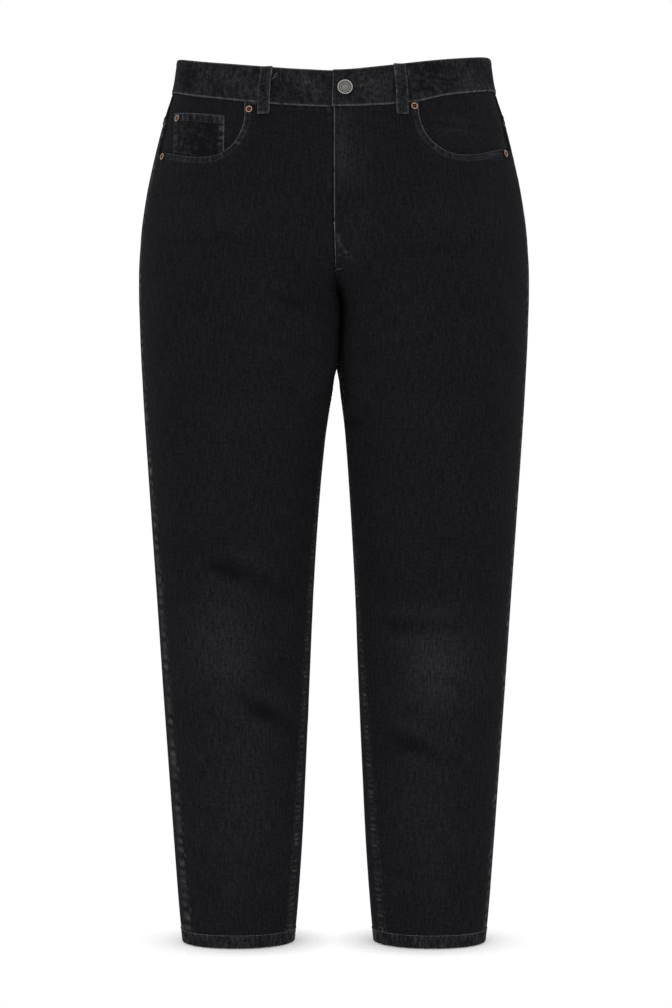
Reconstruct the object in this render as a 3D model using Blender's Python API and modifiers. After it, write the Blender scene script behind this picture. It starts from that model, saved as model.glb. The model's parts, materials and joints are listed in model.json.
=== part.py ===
"""Mom jeans in black denim, filled out as if worn, with no wearer inside.

The model is in metres, +Z up. The fronts face -Y and the wearer's right leg is at -X. The origin
is the middle of the waist opening, half way up the waistband at the side seams.

The cloth is one smooth skin that every piece is cut from. A place on one side of the skin has a
turn and a height. The turn counts quarters round the leg: -1 at the centre front or the inseam,
0 at the front crease line, 1 at the side, 2 at the back crease line and 3 at the centre back or
the inseam again. The sizes below are in millimetres, and the meshes are made in metres.
"""

import math

import bpy
import numpy as np
from mathutils import Matrix, Vector

MM = 0.001
RIGHT, LEFT = -1, 1
SIDES = {RIGHT: "right", LEFT: "left"}

# The cut, one row for each level from the top of the waistband to the hem.
LEVEL_COLUMNS = ("height", "half_width", "half_gap", "middle", "crease", "front", "back")
LEVELS = (
    (30.0, 174.0, 0.15, 0.0, 1.0, 104.0, 113.0),
    (19.0, 175.0, 0.15, 0.0, 3.0, 106.0, 115.0),
    (-17.0, 180.3, 0.15, 0.0, 8.0, 110.0, 120.0),
    (-46.0, 189.2, 0.15, 0.0, 16.0, 115.0, 126.0),
    (-91.0, 200.6, 0.15, 0.0, 30.0, 122.0, 137.0),
    (-136.0, 209.9, 0.15, 0.0, 46.0, 127.0, 146.0),
    (-180.0, 215.6, 0.15, 0.3, 62.0, 128.5, 151.0),
    (-225.0, 217.8, 0.15, 2.5, 84.0, 127.0, 149.0),
    (-247.5, 217.7, 0.20, 5.0, 97.0, 124.0, 143.0),
    (-270.0, 217.0, 0.30, 5.4, 104.0, 120.0, 135.0),
    (-292.0, 216.3, 0.30, 4.6, 107.5, 116.5, 128.0),
    (-321.0, 215.0, 0.30, 3.6, 109.0, 112.0, 120.0),
    (-337.0, 214.1, 3.00, 3.0, 109.5, 109.5, 115.5),
    (-359.5, 212.9, 6.20, 2.6, 110.0, 106.5, 110.5),
    (-404.0, 210.1, 11.4, 1.6, 111.0, 101.0, 103.5),
    (-494.0, 204.0, 18.5, 0.6, 111.5, 90.0, 91.0),
    (-583.5, 197.8, 23.6, 0.3, 110.8, 81.0, 81.5),
    (-673.0, 191.8, 27.2, 0.0, 109.5, 73.5, 74.0),
    (-763.0, 185.4, 31.1, 0.0, 108.2, 66.0, 66.5),
    (-852.0, 179.0, 35.4, 0.0, 107.2, 59.0, 59.5),
    (-930.0, 173.0, 40.9, 0.0, 107.0, 53.5, 54.0),
    (-964.0, 169.5, 44.1, 0.0, 106.8, 51.0, 51.0),
)

# How far inside the outline each seam shows on the front, because the back panels are wider.
INSET_COLUMNS = ("height", "right_outseam", "right_inseam", "left_inseam", "left_outseam")
INSETS = (
    (30.0, 1.5, 0.0, 0.0, 1.5),
    (-17.0, 2.5, 0.0, 0.0, 2.0),
    (-90.0, 7.0, 0.0, 0.0, 4.0),
    (-247.5, 5.5, 0.0, 0.0, 5.0),
    (-400.0, 7.0, 2.0, 1.5, 5.0),
    (-540.0, 9.0, 4.5, 3.0, 5.0),
    (-700.0, 11.0, 7.0, 7.8, 5.0),
    (-920.0, 13.4, 9.0, 13.0, 5.5),
    (-964.0, 14.0, 9.0, 13.5, 5.5),
)

# The main folds. x and height are the middle of each, and tilt is its slope in degrees.
FOLD_COLUMNS = ("face", "x", "height", "half_length", "half_width", "tilt", "depth")
FRONT, BACK = -1, 1
FOLDS = (
    (FRONT, -103.0, -549.0, 40.0, 15.0, -25.0, 3.0),
    (FRONT, -80.0, -700.0, 36.0, 15.0, -36.0, 3.2),
    (FRONT, 93.0, -609.0, 38.0, 14.0, -2.0, 3.0),
    (FRONT, 88.0, -738.0, 30.0, 14.0, -23.0, 3.0),
    (BACK, -112.0, -596.0, 46.0, 15.0, 12.0, 3.4),
    (BACK, -100.0, -652.0, 42.0, 15.0, -16.0, 3.0),
    (BACK, 108.0, -584.0, 44.0, 15.0, -14.0, 3.2),
    (BACK, 114.0, -646.0, 46.0, 15.0, 10.0, 3.2),
    (BACK, -120.0, -322.0, 60.0, 18.0, 14.0, 3.0),
    (BACK, 116.0, -318.0, 56.0, 18.0, -12.0, 3.0),
)

# Cloth and clearances.
CLOTH = 1.2
SEAM_GAP = 0.3
CHORD_ROOM = 0.8  # room for the flat facets of one layer over another

# The fork of the legs, and how the centre seams curve under to it.
FORK = -247.5
FORK_BLEND = 60.0
FRONT_CURVE = 65.0
BACK_CURVE = 95.0
OUTER_POWER = 2.15
THIGH_LEAN = -0.06  # the inner thighs cross a little, so that no light shows between them

# The waistband, whose edges dip at the centre front.
SEAM_AT_FRONT, SEAM_AT_SIDE, SEAM_AT_BACK = -51.6, -19.0, -12.0
TOP_AT_FRONT, TOP_AT_SIDE, TOP_AT_BACK = -11.0, 18.4, 27.0
BAND_LIFT = {RIGHT: 0.5, LEFT: 5.0}
SEAM_LIFTS, TOP_LIFTS = (0.38, 0.7), (-0.2, 0.35)
BAND_HOLLOW = 0.4  # how much the edges stay low before they rise at the side
BAND_OUT, BAND_IN = 0.6, -1.8
OVERLAP_EDGE = -1.5
UNDERLAP_EDGE = 38.0
LAP_RAISE, LAP_SINK, LAP_RAMP = 1.3, 1.6, 26.0

# Yokes, pockets and hems.
YOKE_AT_SIDE, YOKE_AT_BACK = 34.0, 72.0
JOIN = -166.0  # the level where the shaped rows of the upper panels become level
CENTRE_JOIN = -146.0  # where the row from the end of the pocket mouth meets the centre front
MOUTH_BEND = 2.0  # how steeply that row drops, to stay below the mouth
HEM_TOP, HEM_BOTTOM = -949.0, -964.0
HEM_OUT, HEM_IN = 0.4, -2.4
FLY_END = -176.0
SHIELD_EDGES = (-14.0, 36.0)

# Pocket mouths, from the waist seam round to the outseam, as distance from the middle and height.
MOUTHS = {
    RIGHT: ((96.0, -43.0), (96.8, -68.0), (107.6, -90.0), (124.0, -101.0), (143.0, -102.8), (164.0, -98.6),
            (186.0, -92.0)),
    LEFT: ((90.2, -38.0), (92.0, -62.5), (100.4, -82.0), (115.0, -94.8), (133.0, -100.4), (158.0, -97.6),
           (186.0, -86.5)),
}
MOUTH_POINTS = 17
FACING_UNDER = 0.28  # the share of the front panel's first column that covers the facing
FACING_DIP = -4.0

COIN_SIDE = RIGHT
COIN_TOP_OUTER, COIN_TOP_INNER = (175.0, -47.5), (118.0, -58.7)
COIN_CLEAR, COIN_OUT = 3.0, 0.2

# Back pockets: the distances of their corners from the middle, and heights below the yoke seam.
POCKET_TOP, POCKET_BOTTOM = (42.0, 172.0), (45.0, 156.0)
POCKET_DROP, POCKET_SIDES, POCKET_POINT = 20.0, 136.0, 20.0
POCKET_LIFT = 1.2

LOOP_WIDTH, LOOP_THICK, LOOP_STAND = 12.6, 2.2, 3.0
LOOP_BELOW_SEAM, LOOP_BELOW_TOP = 12.8, 0.5
LOOP_REST = 0.6
LOOPS = {
    "belt_loop_front_right": (RIGHT, FRONT, 71.7, 75.4),
    "belt_loop_front_left": (LEFT, FRONT, 69.9, 73.3),
    "belt_loop_side_right": (RIGHT, BACK, 118.0, 120.0),
    "belt_loop_side_left": (LEFT, BACK, 118.0, 120.0),
    "belt_loop_back": (LEFT, BACK, 0.0, 0.0),
}

BUTTON_PLACE = (11.9, -32.6)
BUTTON_PROFILE = ((0.0, 5.0), (5.4, 5.0), (6.0, 4.6), (6.8, 5.3), (7.9, 5.1), (8.5, 4.3), (8.1, 3.3),
                  (3.2, 2.6), (3.2, 0.0), (0.0, 0.0))
RIVET_PROFILE = ((0.0, 1.3), (1.1, 1.2), (1.8, 0.7), (3.2, 1.5), (4.3, 1.0), (4.4, 0.0), (0.0, 0.0))
RIVET_REST = 0.5
RIVETS = {
    "rivet_mouth_right": (RIGHT, 90.6, -53.4),
    "rivet_seam_right": (RIGHT, 187.2, -95.8),
    "rivet_mouth_left": (LEFT, 86.0, -50.0),
    "rivet_seam_left": (LEFT, 187.4, -92.0),
    "rivet_coin": (RIGHT, 170.6, -55.0),
}

DENIM = {"color": (0.013, 0.013, 0.015, 1.0), "roughness": 0.92, "metallic": 0.0}
DENIM_TURNED = {"color": (0.017, 0.017, 0.019, 1.0), "roughness": 0.9, "metallic": 0.0}
COPPER = {"color": (0.48, 0.23, 0.13, 1.0), "roughness": 0.38, "metallic": 1.0}
PEWTER = {"color": (0.42, 0.41, 0.39, 1.0), "roughness": 0.34, "metallic": 1.0}

COLUMNS = 11
TURN_STEP = 0.02
NO_TURN = 1e-9
HEIGHT_STEP = 2.0


# Reading the tables

def smooth(rows, column, at):
    """Monotone cubic through one column of a table whose heights fall from row to row."""
    table = np.array(rows, float)[::-1]
    x, y = table[:, 0], table[:, column]
    step = np.diff(x)
    slope = np.diff(y) / step
    product = slope[:-1] * slope[1:]
    total = slope[:-1] + slope[1:]
    tangent = np.concatenate([slope[:1], np.zeros(len(slope) - 1), slope[-1:]])
    np.divide(2 * product, total, out=tangent[1:-1], where=product > 0)
    at = np.clip(at, x[0], x[-1])
    i = np.clip(np.searchsorted(x, at) - 1, 0, len(step) - 1)
    t = (at - x[i]) / step[i]
    start = (1 + 2 * t) * (1 - t) ** 2 * y[i] + t * (1 - t) ** 2 * step[i] * tangent[i]
    end = t * t * (3 - 2 * t) * y[i + 1] + t * t * (t - 1) * step[i] * tangent[i + 1]
    return start + end


def level(name, height):
    return smooth(LEVELS, LEVEL_COLUMNS.index(name), height)


def inset(side, seam, height):
    return smooth(INSETS, INSET_COLUMNS.index(f"{SIDES[side]}_{seam}"), height)


def ease(value, low, high):
    """0 below low, 1 above high, and a smooth step between them."""
    t = np.clip((value - low) / (high - low), 0, 1)
    return t * t * (3 - 2 * t)


# The skin of the cloth

def centre_share(height, front):
    """How much of the crease line's depth the centre seam has: 1 down to its curve, 0 at the fork."""
    curve = np.where(front, FRONT_CURVE, BACK_CURVE)
    drop = np.clip((FORK + curve - height) / curve, 0, 1)
    return np.clip(np.sqrt(1 - drop**2), 0, 1 - 1e-6)


def inner_power(height):
    """The inner thighs are flatter near the fork, where they press together."""
    return 2.0 + ease(height, -450, -300)


def rounded(share, power):
    """The other coordinate of a superellipse of radius 1, so share**power + result**power = 1."""
    return (1 - np.clip(share, 0, 1) ** power) ** (1 / power)


def base(side, turn, height):
    """The skin without folds: superellipse quarters of each level's half width and depths."""
    turn, height = np.broadcast_arrays(np.asarray(turn, float), np.asarray(height, float))
    middle = side * level("middle", height)
    crease, half = level("crease", height), level("half_width", height)
    turn = np.where(turn > 3 + NO_TURN, turn - 4, turn)
    front = turn < 1
    inner = (turn < 0) | (turn > 2)
    power = np.where(inner, inner_power(height), OUTER_POWER)
    share = centre_share(height, front)
    reach = np.where(inner, rounded(share, power), 1.0)
    end = np.where(inner, np.arctan2(reach, share), math.pi / 2)
    angle = np.abs(np.where(front, turn, turn - 2)) * end
    sine, cosine = np.abs(np.sin(angle)), np.abs(np.cos(angle))
    radius = (sine**power + cosine**power) ** (-1 / power)
    across = sine * radius / reach
    inward = crease - middle - level("half_gap", height)
    x = crease + across * np.where(inner, -inward, half - crease)
    depth = np.where(front, -level("front", height), level("back", height))
    y = depth * cosine * radius
    leaning = ease(height, -390, -340) * (1 - ease(height, -262, -232))
    x = x + np.where(inner, side * THIGH_LEAN * leaning * y * across**2, 0)
    return np.stack([side * x, y, height], axis=-1)


def outward(side, turn, height):
    """The unit normal of the skin, from points a small step to each side."""
    turn, height = np.broadcast_arrays(np.asarray(turn, float), np.asarray(height, float))
    low = np.maximum(turn - TURN_STEP, -1)
    high = turn + TURN_STEP
    high = np.where((turn <= 3 + NO_TURN) & (height > FORK), np.minimum(high, 3), high)
    across = base(side, high, height) - base(side, low, height)
    up = base(side, turn, height + HEIGHT_STEP) - base(side, turn, height - HEIGHT_STEP)
    normal = side * np.cross(across, up)
    return normal / np.linalg.norm(normal, axis=-1, keepdims=True)


def folding(points):
    """How far the folds move the skin out: each is a trough with a raised shoulder on each side."""
    moved = np.zeros(points.shape[:-1])
    for face, x, height, half_length, half_width, tilt, depth in FOLDS:
        turned = math.radians(tilt)
        right, up = points[..., 0] - x, points[..., 2] - height
        along = (right * math.cos(turned) + up * math.sin(turned)) / half_length
        over = (up * math.cos(turned) - right * math.sin(turned)) / half_width
        shape = (2 * over**2 - 1) * np.exp(-(over**2) - along**2)
        moved += np.where(points[..., 1] * face > 0, depth * shape, 0)
    return moved


def cloth(side, turn, height, out=0.0):
    """A point of the cloth, moved out from the skin by some millimetres."""
    skin = base(side, turn, height)
    return skin + (folding(skin) + out)[..., None] * outward(side, turn, height)


# Lengths round the skin

def quarter_lengths(side, height):
    """Near enough the lengths of a level's four quarters, from the inner front to the inner back.

    Those of the inner quarters change slowly at the fork, so that the columns of points don't jump.
    """
    middle = side * level("middle", height)
    crease = level("crease", height)
    inward = crease - middle - level("half_gap", height)
    lengths = []
    for name, curve in (("front", FRONT_CURVE), ("back", BACK_CURVE)):
        depth = level(name, height)
        sink = 1 - ease(height, FORK - FORK_BLEND, FORK + curve)
        inner = np.hypot(inward, depth * sink) * (1 + 0.11 * sink)
        outer = math.pi / 2 * np.sqrt(((level("half_width", height) - crease) ** 2 + depth**2) / 2)
        lengths += [(inner, outer)]
    (inner_front, outer_front), (inner_back, outer_back) = lengths
    return inner_front, outer_front, outer_back, inner_back


def girth(side, turn, height):
    """Length along the cloth from the front crease line to a turn."""
    total = np.minimum(turn, 0) * quarter_lengths(side, height)[0]
    lengths = quarter_lengths(side, height)
    for i, length in enumerate([*lengths[1:], lengths[0]]):
        total = total + np.clip(turn - i, 0, 1) * length
    return total


def turn_at(side, length, height):
    """The turn at a length along the cloth from the front crease line, the inverse of girth."""
    lengths = quarter_lengths(side, height)
    turn = np.minimum(length / lengths[0], 0)
    for quarter in [*lengths[1:], lengths[0]]:
        turn = turn + np.clip(length / quarter, 0, 1)
        length = length - quarter
    return turn


def turn_from_x(side, face, x, height):
    """The turn of the front or back point that is x from the middle."""
    half, crease = level("half_width", height), level("crease", height)
    outer = np.clip((x - crease) / (half - crease), 0, 1)
    outer_turn = np.arctan2(outer, rounded(outer, OUTER_POWER)) / (math.pi / 2)
    power, share = inner_power(height), centre_share(height, face == FRONT)
    inward = crease - side * level("middle", height) - level("half_gap", height)
    reach = rounded(share, power)
    inner = np.clip((crease - x) / inward, 0, 1) * reach
    inner_turn = -np.arctan2(inner, rounded(inner, power)) / np.arctan2(reach, share)
    turn = np.where(x > crease, outer_turn, inner_turn)
    return turn if face == FRONT else 2 - turn


def outseam(side, height):
    return turn_from_x(side, FRONT, level("half_width", height) - inset(side, "outseam", height), height)


def inseam(side, height):
    """The turn of the inseam below the fork, and of the centre front above it."""
    edge = side * level("middle", height) + level("half_gap", height)
    below = turn_from_x(side, FRONT, edge + inset(side, "inseam", height), height)
    return np.where(height < FORK, below, -1.0)


def nudge(side, turn, height, by):
    """A turn moved by some millimetres round the cloth."""
    step = base(side, turn + TURN_STEP, height) - base(side, turn, height)
    return turn + by * TURN_STEP / np.linalg.norm(step, axis=-1)


# Edges of the pieces

def round_body(side, turn, height):
    """0 at the centre front or back and 1 at the side: the distance from the middle as a share."""
    return np.abs(base(side, turn, height)[..., 0]) / level("half_width", height)


def band_edge(side, turn, at_front, at_side, at_back, late):
    """A waistband edge: a hollowed parabola across the front, and a plain one across the back."""
    share = round_body(side, turn, np.full(np.shape(turn), (at_front + at_side) / 2))
    lift = BAND_LIFT[side] * 2 * share * np.sqrt(np.clip(1 - share**2, 0, 1)) * ease(share, *late)
    rise = share**2 - BAND_HOLLOW * share**4 * (1 - share**4)
    front = at_front + (at_side - at_front) * rise + lift
    back = at_back + (at_side - at_back) * share**2
    return np.where(turn < 1, front, back)


def waist_seam(side, turn):
    return band_edge(side, turn, SEAM_AT_FRONT, SEAM_AT_SIDE, SEAM_AT_BACK, SEAM_LIFTS)


def waist_top(side, turn):
    return band_edge(side, turn, TOP_AT_FRONT, TOP_AT_SIDE, TOP_AT_BACK, TOP_LIFTS)


def yoke_seam(side, turn):
    """The yoke is deepest at the centre back."""
    share = round_body(side, turn, np.full(np.shape(turn), -70.0))
    share = np.where(turn < 1, 1, share)
    return waist_seam(side, turn) - YOKE_AT_SIDE - (YOKE_AT_BACK - YOKE_AT_SIDE) * (1 - share)


def mouth(side, count):
    """The pocket mouth as (length, height) pairs on a smooth curve through its points."""
    points = np.array(MOUTHS[side])
    points = np.concatenate([[2 * points[0] - points[1]], points, [2 * points[-1] - points[-2]]])
    spans = len(points) - 3
    place = np.linspace(0, spans, count)
    i = np.minimum(place.astype(int), spans - 1)
    t = (place - i)[:, None]
    before, start, end, after = (points[i + k] for k in range(4))
    curve = 0.5 * (2 * start + (end - before) * t + (2 * before - 5 * start + 4 * end - after) * t**2
                   + (3 * start - before - 3 * end + after) * t**3)
    turn = turn_from_x(side, FRONT, curve[:, 0], curve[:, 1])
    turn[-1] = outseam(side, curve[-1, 1])
    curve[0, 1] = waist_seam(side, turn[:1])[0] - SEAM_GAP / 2
    return np.stack([girth(side, turn, curve[:, 1]), curve[:, 1]], axis=1)


def coons(top, bottom, left, right):
    """A grid that fills four edges: both rulings added, and the straight one taken away."""
    v = np.linspace(0, 1, len(left))[:, None, None]
    u = np.linspace(0, 1, len(top))[None, :, None]
    ruled = (1 - v) * top[None] + v * bottom[None] + (1 - u) * left[:, None] + u * right[:, None]
    corners = ((1 - v) * ((1 - u) * top[0] + u * top[-1])
               + v * ((1 - u) * bottom[0] + u * bottom[-1]))
    return ruled - corners


def between(start, end, count):
    """Points at equal steps from each start to each end, as columns."""
    u = np.linspace(0, 1, count)
    return start[..., None] * (1 - u) + end[..., None] * u


# Making solids

def material(name, finish):
    made = bpy.data.materials.new(name)
    made.use_nodes = True
    shader = made.node_tree.nodes["Principled BSDF"]
    shader.inputs["Base Color"].default_value = finish["color"]
    shader.inputs["Roughness"].default_value = finish["roughness"]
    shader.inputs["Metallic"].default_value = finish["metallic"]
    return made


def add(name, mesh, finish):
    mesh.materials.append(material(name, finish))
    made = bpy.data.objects.new(name, mesh)
    bpy.data.collections["mom_jeans"].objects.link(made)
    return made


def strips(grid, other):
    """Faces between two rows of point numbers."""
    return np.stack([grid[:-1], other[:-1], other[1:], grid[1:]], axis=1)


def wall(name, outer, inner, finish=DENIM, ring=False):
    """A closed wall between two grids of points. A ring's last column meets its first."""
    rows, columns = outer.shape[:2]
    out = np.arange(rows * columns).reshape(rows, columns)
    if ring:
        out = np.concatenate([out, out[:, :1]], axis=1)
    back = out + rows * columns
    faces = [strips(out[i], out[i + 1]) for i in range(rows - 1)]
    faces += [strips(back[i + 1], back[i]) for i in range(rows - 1)]
    faces += [strips(back[0], out[0]), strips(out[-1], back[-1])]
    if not ring:
        faces += [strips(out[:, 0], back[:, 0]), strips(back[:, -1], out[:, -1])]
    faces = np.concatenate(faces)
    points = np.concatenate([outer.reshape(-1, 3), inner.reshape(-1, 3)]) * MM
    a, b, c, d = (points[faces[:, k]] for k in range(4))
    volume = (a * np.cross(b, c)).sum() + (a * np.cross(c, d)).sum()
    if volume < 0:
        faces = faces[:, ::-1]
    mesh = bpy.data.meshes.new(name)
    mesh.from_pydata(points.tolist(), [], faces.tolist())
    mesh.shade_smooth()
    mesh.set_sharp_from_angle(angle=math.radians(50))
    return add(name, mesh, finish)


def panel(name, side, turn, height, out=0.0, thick=CLOTH, finish=DENIM):
    """A wall cut from the skin, its outer face moved out by some millimetres."""
    return wall(name, cloth(side, turn, height, out), cloth(side, turn, height, out - thick), finish)


def level_heights():
    """Heights of the panels' level rows: closer round the fork and at the knees."""
    curve = FORK + FRONT_CURVE * (1 - np.sin(np.radians([20, 38, 54, 68, 80, 90])))
    return np.concatenate([
        [JOIN, -182.0], curve, [-257.0, -273.0, -292.0, -310.0, -322.0, -337.0, -357.0, -382.0],
        np.linspace(-410, -520, 4), np.linspace(-538, -778, 13), np.linspace(-806, HEM_TOP, 6)])


# The pieces

def level_rows(side, front):
    """Turns and heights of a panel below the join, from the outseam to the inseam."""
    height = level_heights()
    trim = SEAM_GAP / 2
    start = nudge(side, outseam(side, height), height, -trim if front else trim)
    end = inseam(side, height)
    if front:
        end = np.where(height > FORK, -1.0, nudge(side, end, height, trim))
    else:
        end = np.where(height > FORK, 3.0, nudge(side, end + 4, height, -trim))
    heights = np.repeat(height[:, None], COLUMNS + 1, axis=1)
    length = between(girth(side, start, height), girth(side, end, height), COLUMNS + 1)
    turn = turn_at(side, length, heights)
    turn[:, 0], turn[:, -1] = start, end
    return turn, heights


def front_grid(side):
    """Turns and heights of the front: a part beside the pocket mouth, and level rows below it."""
    edge = mouth(side, MOUTH_POINTS)
    centre_height = np.linspace(SEAM_AT_FRONT, CENTRE_JOIN, len(edge))
    centre = np.stack([girth(side, np.full(len(edge), -1.0), centre_height), centre_height], axis=1)
    top_length = np.linspace(edge[0, 0], centre[0, 0], COLUMNS + 1)
    top_turn = turn_at(side, top_length, np.full(COLUMNS + 1, SEAM_AT_FRONT + 6))
    top = np.stack([top_length, waist_seam(side, top_turn) - SEAM_GAP / 2], axis=1)
    inward = np.linspace(0, 1, COLUMNS + 1)[:, None]
    inward = np.concatenate([inward, 1 - (1 - inward) ** MOUTH_BEND], axis=1)
    low = edge[-1] * (1 - inward) + centre[-1] * inward
    edge[0, 1], centre[0, 1] = top[0, 1], top[-1, 1]
    shaped = coons(top, low, edge, centre)
    length, height = shaped[..., 0], shaped[..., 1]
    turn = turn_at(side, length, height)
    turn[:, -1] = -1.0
    turn[-1, 0] = nudge(side, turn[-1, 0], height[-1, 0], -SEAM_GAP / 2)
    lower_turn, lower_height = level_rows(side, True)
    steps = np.linspace(0, 1, 5)[1:-1, None]
    blend_height = height[-1] * (1 - steps) + JOIN * steps
    blend_start = nudge(side, outseam(side, blend_height[:, 0]), blend_height[:, 0], -SEAM_GAP / 2)
    blend_length = between(girth(side, blend_start, blend_height[:, 0]),
                           girth(side, np.full(len(steps), -1.0), blend_height[:, -1]), COLUMNS + 1)
    blend_turn = turn_at(side, blend_length, blend_height)
    blend_turn[:, 0], blend_turn[:, -1] = blend_start, -1.0
    return (np.concatenate([turn, blend_turn, lower_turn]),
            np.concatenate([height, blend_height, lower_height]))


def front_panel(side):
    panel(f"front_{SIDES[side]}", side, *front_grid(side))


def upper_back(side, top_edge, bottom_edge, rows, columns=COLUMNS + 1):
    """Turns and heights between two edges that run from the outseam to the centre back."""
    height = np.full((rows, columns), SEAM_AT_SIDE - YOKE_AT_SIDE)
    for _ in range(4):
        start = nudge(side, outseam(side, height[:, 0]), height[:, 0], SEAM_GAP / 2)
        length = between(girth(side, start, height[:, 0]),
                         girth(side, np.full(rows, 3.0), height[:, -1]), columns)
        turn = turn_at(side, length, height)
        turn[:, 0], turn[:, -1] = start, 3.0
        down = np.linspace(0, 1, rows)[:, None]
        height = top_edge(side, turn) * (1 - down) + bottom_edge(side, turn) * down
    return turn, height


def back_panel(side):
    """The back: from the yoke seam to the level rows, and down to the hem."""
    turn, height = upper_back(side, lambda s, t: yoke_seam(s, t) - SEAM_GAP / 2,
                              lambda s, t: np.full(t.shape, JOIN), 6)
    lower_turn, lower_height = level_rows(side, False)
    panel(f"back_{SIDES[side]}", side, np.concatenate([turn[:-1], lower_turn]),
          np.concatenate([height[:-1], lower_height]))


def yoke(side):
    turn, height = upper_back(side, lambda s, t: waist_seam(s, t) - SEAM_GAP / 2,
                              lambda s, t: yoke_seam(s, t) + SEAM_GAP / 2, 4)
    panel(f"yoke_{SIDES[side]}", side, turn, height)


def facing(side):
    """The pocket facing fills the mouth, and its last row and column go under the front panel.

    The hidden margin lies on the panel's own first column of points, moved in, so that the two
    layers stay parallel.
    """
    edge = mouth(side, MOUTH_POINTS)
    corner = MOUTH_POINTS // 2
    seam_top = waist_seam(side, outseam(side, np.array([SEAM_AT_SIDE])))[0] - SEAM_GAP / 2
    outer_height = np.linspace(seam_top, edge[-1, 1], corner + 1)
    outer = np.stack([girth(side, outseam(side, outer_height), outer_height), outer_height], axis=1)
    top_length = np.linspace(outer[0, 0], edge[0, 0], corner + 1)
    top_turn = turn_at(side, top_length, np.full(corner + 1, -30.0))
    top = np.stack([top_length, waist_seam(side, top_turn) - SEAM_GAP / 2], axis=1)
    right, bottom = edge[:corner + 1], edge[corner:][::-1].copy()
    right[0], outer[0] = top[-1], top[0]
    grid = coons(top, bottom, outer, right)
    turn, height = turn_at(side, grid[..., 0], grid[..., 1]), grid[..., 1]
    turn[:, 0] = nudge(side, outseam(side, height[:, 0]), height[:, 0], -SEAM_GAP / 2)
    panel_turn, panel_height = (values[:MOUTH_POINTS, :2] for values in front_grid(side))
    walls = []
    for out in (-CLOTH - SEAM_GAP, -2 * CLOTH - SEAM_GAP):
        points = np.zeros((corner + 2, corner + 2, 3))
        points[:-1, :-1] = cloth(side, turn, height, out)
        beside = cloth(side, panel_turn, panel_height, out)
        beside[:, 1] += FACING_DIP * outward(side, panel_turn[:, 1], panel_height[:, 1])
        under = beside[:, 0] + FACING_UNDER * (beside[:, 1] - beside[:, 0])
        points[:corner, -1] = under[:corner]
        points[-1, :corner] = under[corner + 1:][::-1]
        points[corner, -1] = (under[corner - 1] + 3 * under[corner]) / 4
        points[-1, corner] = (under[corner + 1] + 3 * under[corner]) / 4
        points[-1, -1] = under[corner]
        walls.append(points)
    wall(f"pocket_facing_{SIDES[side]}", *walls, DENIM_TURNED)


def coin_pocket():
    """The small pocket on the right facing, down to where the front panel covers it."""
    side = COIN_SIDE
    count = 7
    across = np.linspace(COIN_TOP_OUTER[0], COIN_TOP_INNER[0], count)
    top = np.linspace(COIN_TOP_OUTER[1], COIN_TOP_INNER[1], count)
    edge = mouth(side, 60)
    edge_x = np.abs(base(side, turn_at(side, edge[:, 0], edge[:, 1]), edge[:, 1])[:, 0])
    low = np.interp(across, edge_x[25:], edge[25:, 1]) + COIN_CLEAR
    down = np.linspace(0, 1, 5)[:, None]
    height = top * (1 - down) + low * down
    turn = turn_from_x(side, FRONT, np.broadcast_to(across, height.shape), height)
    panel("coin_pocket", side, turn, height, COIN_OUT, finish=DENIM_TURNED)


def back_pocket(side):
    """A patch pocket with a point at the bottom, laid on the back panel."""
    u, v = np.meshgrid(np.linspace(0, 1, 9), np.linspace(0, 1, 13))
    height = np.full(u.shape, -90.0)
    for _ in range(3):
        edges = []
        for top, bottom in zip(POCKET_TOP, POCKET_BOTTOM):
            edges.append(turn_from_x(side, BACK, top + (bottom - top) * v, height))
        turn = edges[0] + (edges[1] - edges[0]) * u
        point = POCKET_POINT * (1 - np.abs(2 * u - 1)) * v
        height = yoke_seam(side, turn) - POCKET_DROP - POCKET_SIDES * v - point
    panel(f"back_pocket_{SIDES[side]}", side, turn, height, POCKET_LIFT + CLOTH)


def waistband():
    """The band, from its hidden right end under the left one, round the back to the left end."""
    middle = (SEAM_AT_FRONT + TOP_AT_FRONT) / 2
    under = turn_from_x(LEFT, FRONT, np.linspace(UNDERLAP_EDGE, 6, 4), np.full(4, middle))
    over = turn_from_x(RIGHT, FRONT, np.array([-OVERLAP_EDGE]), np.full(1, middle))
    count = 31
    right = turn_at(RIGHT, np.linspace(girth(RIGHT, -1.0, 0.0), girth(RIGHT, 3.0, 0.0), count), 0.0)
    left = turn_at(LEFT, np.linspace(girth(LEFT, 3.0, 0.0), girth(LEFT, -1.0, 0.0), count), 0.0)[1:]
    parts = [(LEFT, under), (RIGHT, right), (LEFT, left), (RIGHT, over)]
    grids = {BAND_OUT: [], BAND_IN: []}
    for number, (side, turn) in enumerate(parts):
        down = np.linspace(0, 1, 4)[:, None]
        height = waist_top(side, turn) * (1 - down) + (waist_seam(side, turn) + SEAM_GAP / 2) * down
        turns = np.broadcast_to(turn, height.shape)
        x = base(side, turns, height)[..., 0]
        near_front = turns < 0.8
        sink = LAP_SINK * np.where(near_front, ease(x, -LAP_RAMP, -4), 0)
        rise = LAP_RAISE * np.where(near_front, 1 - ease(x, UNDERLAP_EDGE, UNDERLAP_EDGE + LAP_RAMP), 0)
        lap = -sink if number < 2 else rise
        for out, grid in grids.items():
            grid.append(cloth(side, turns, height, lap + out))
    wall("waistband", *(np.concatenate(grid, axis=1) for grid in grids.values()))


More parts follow.
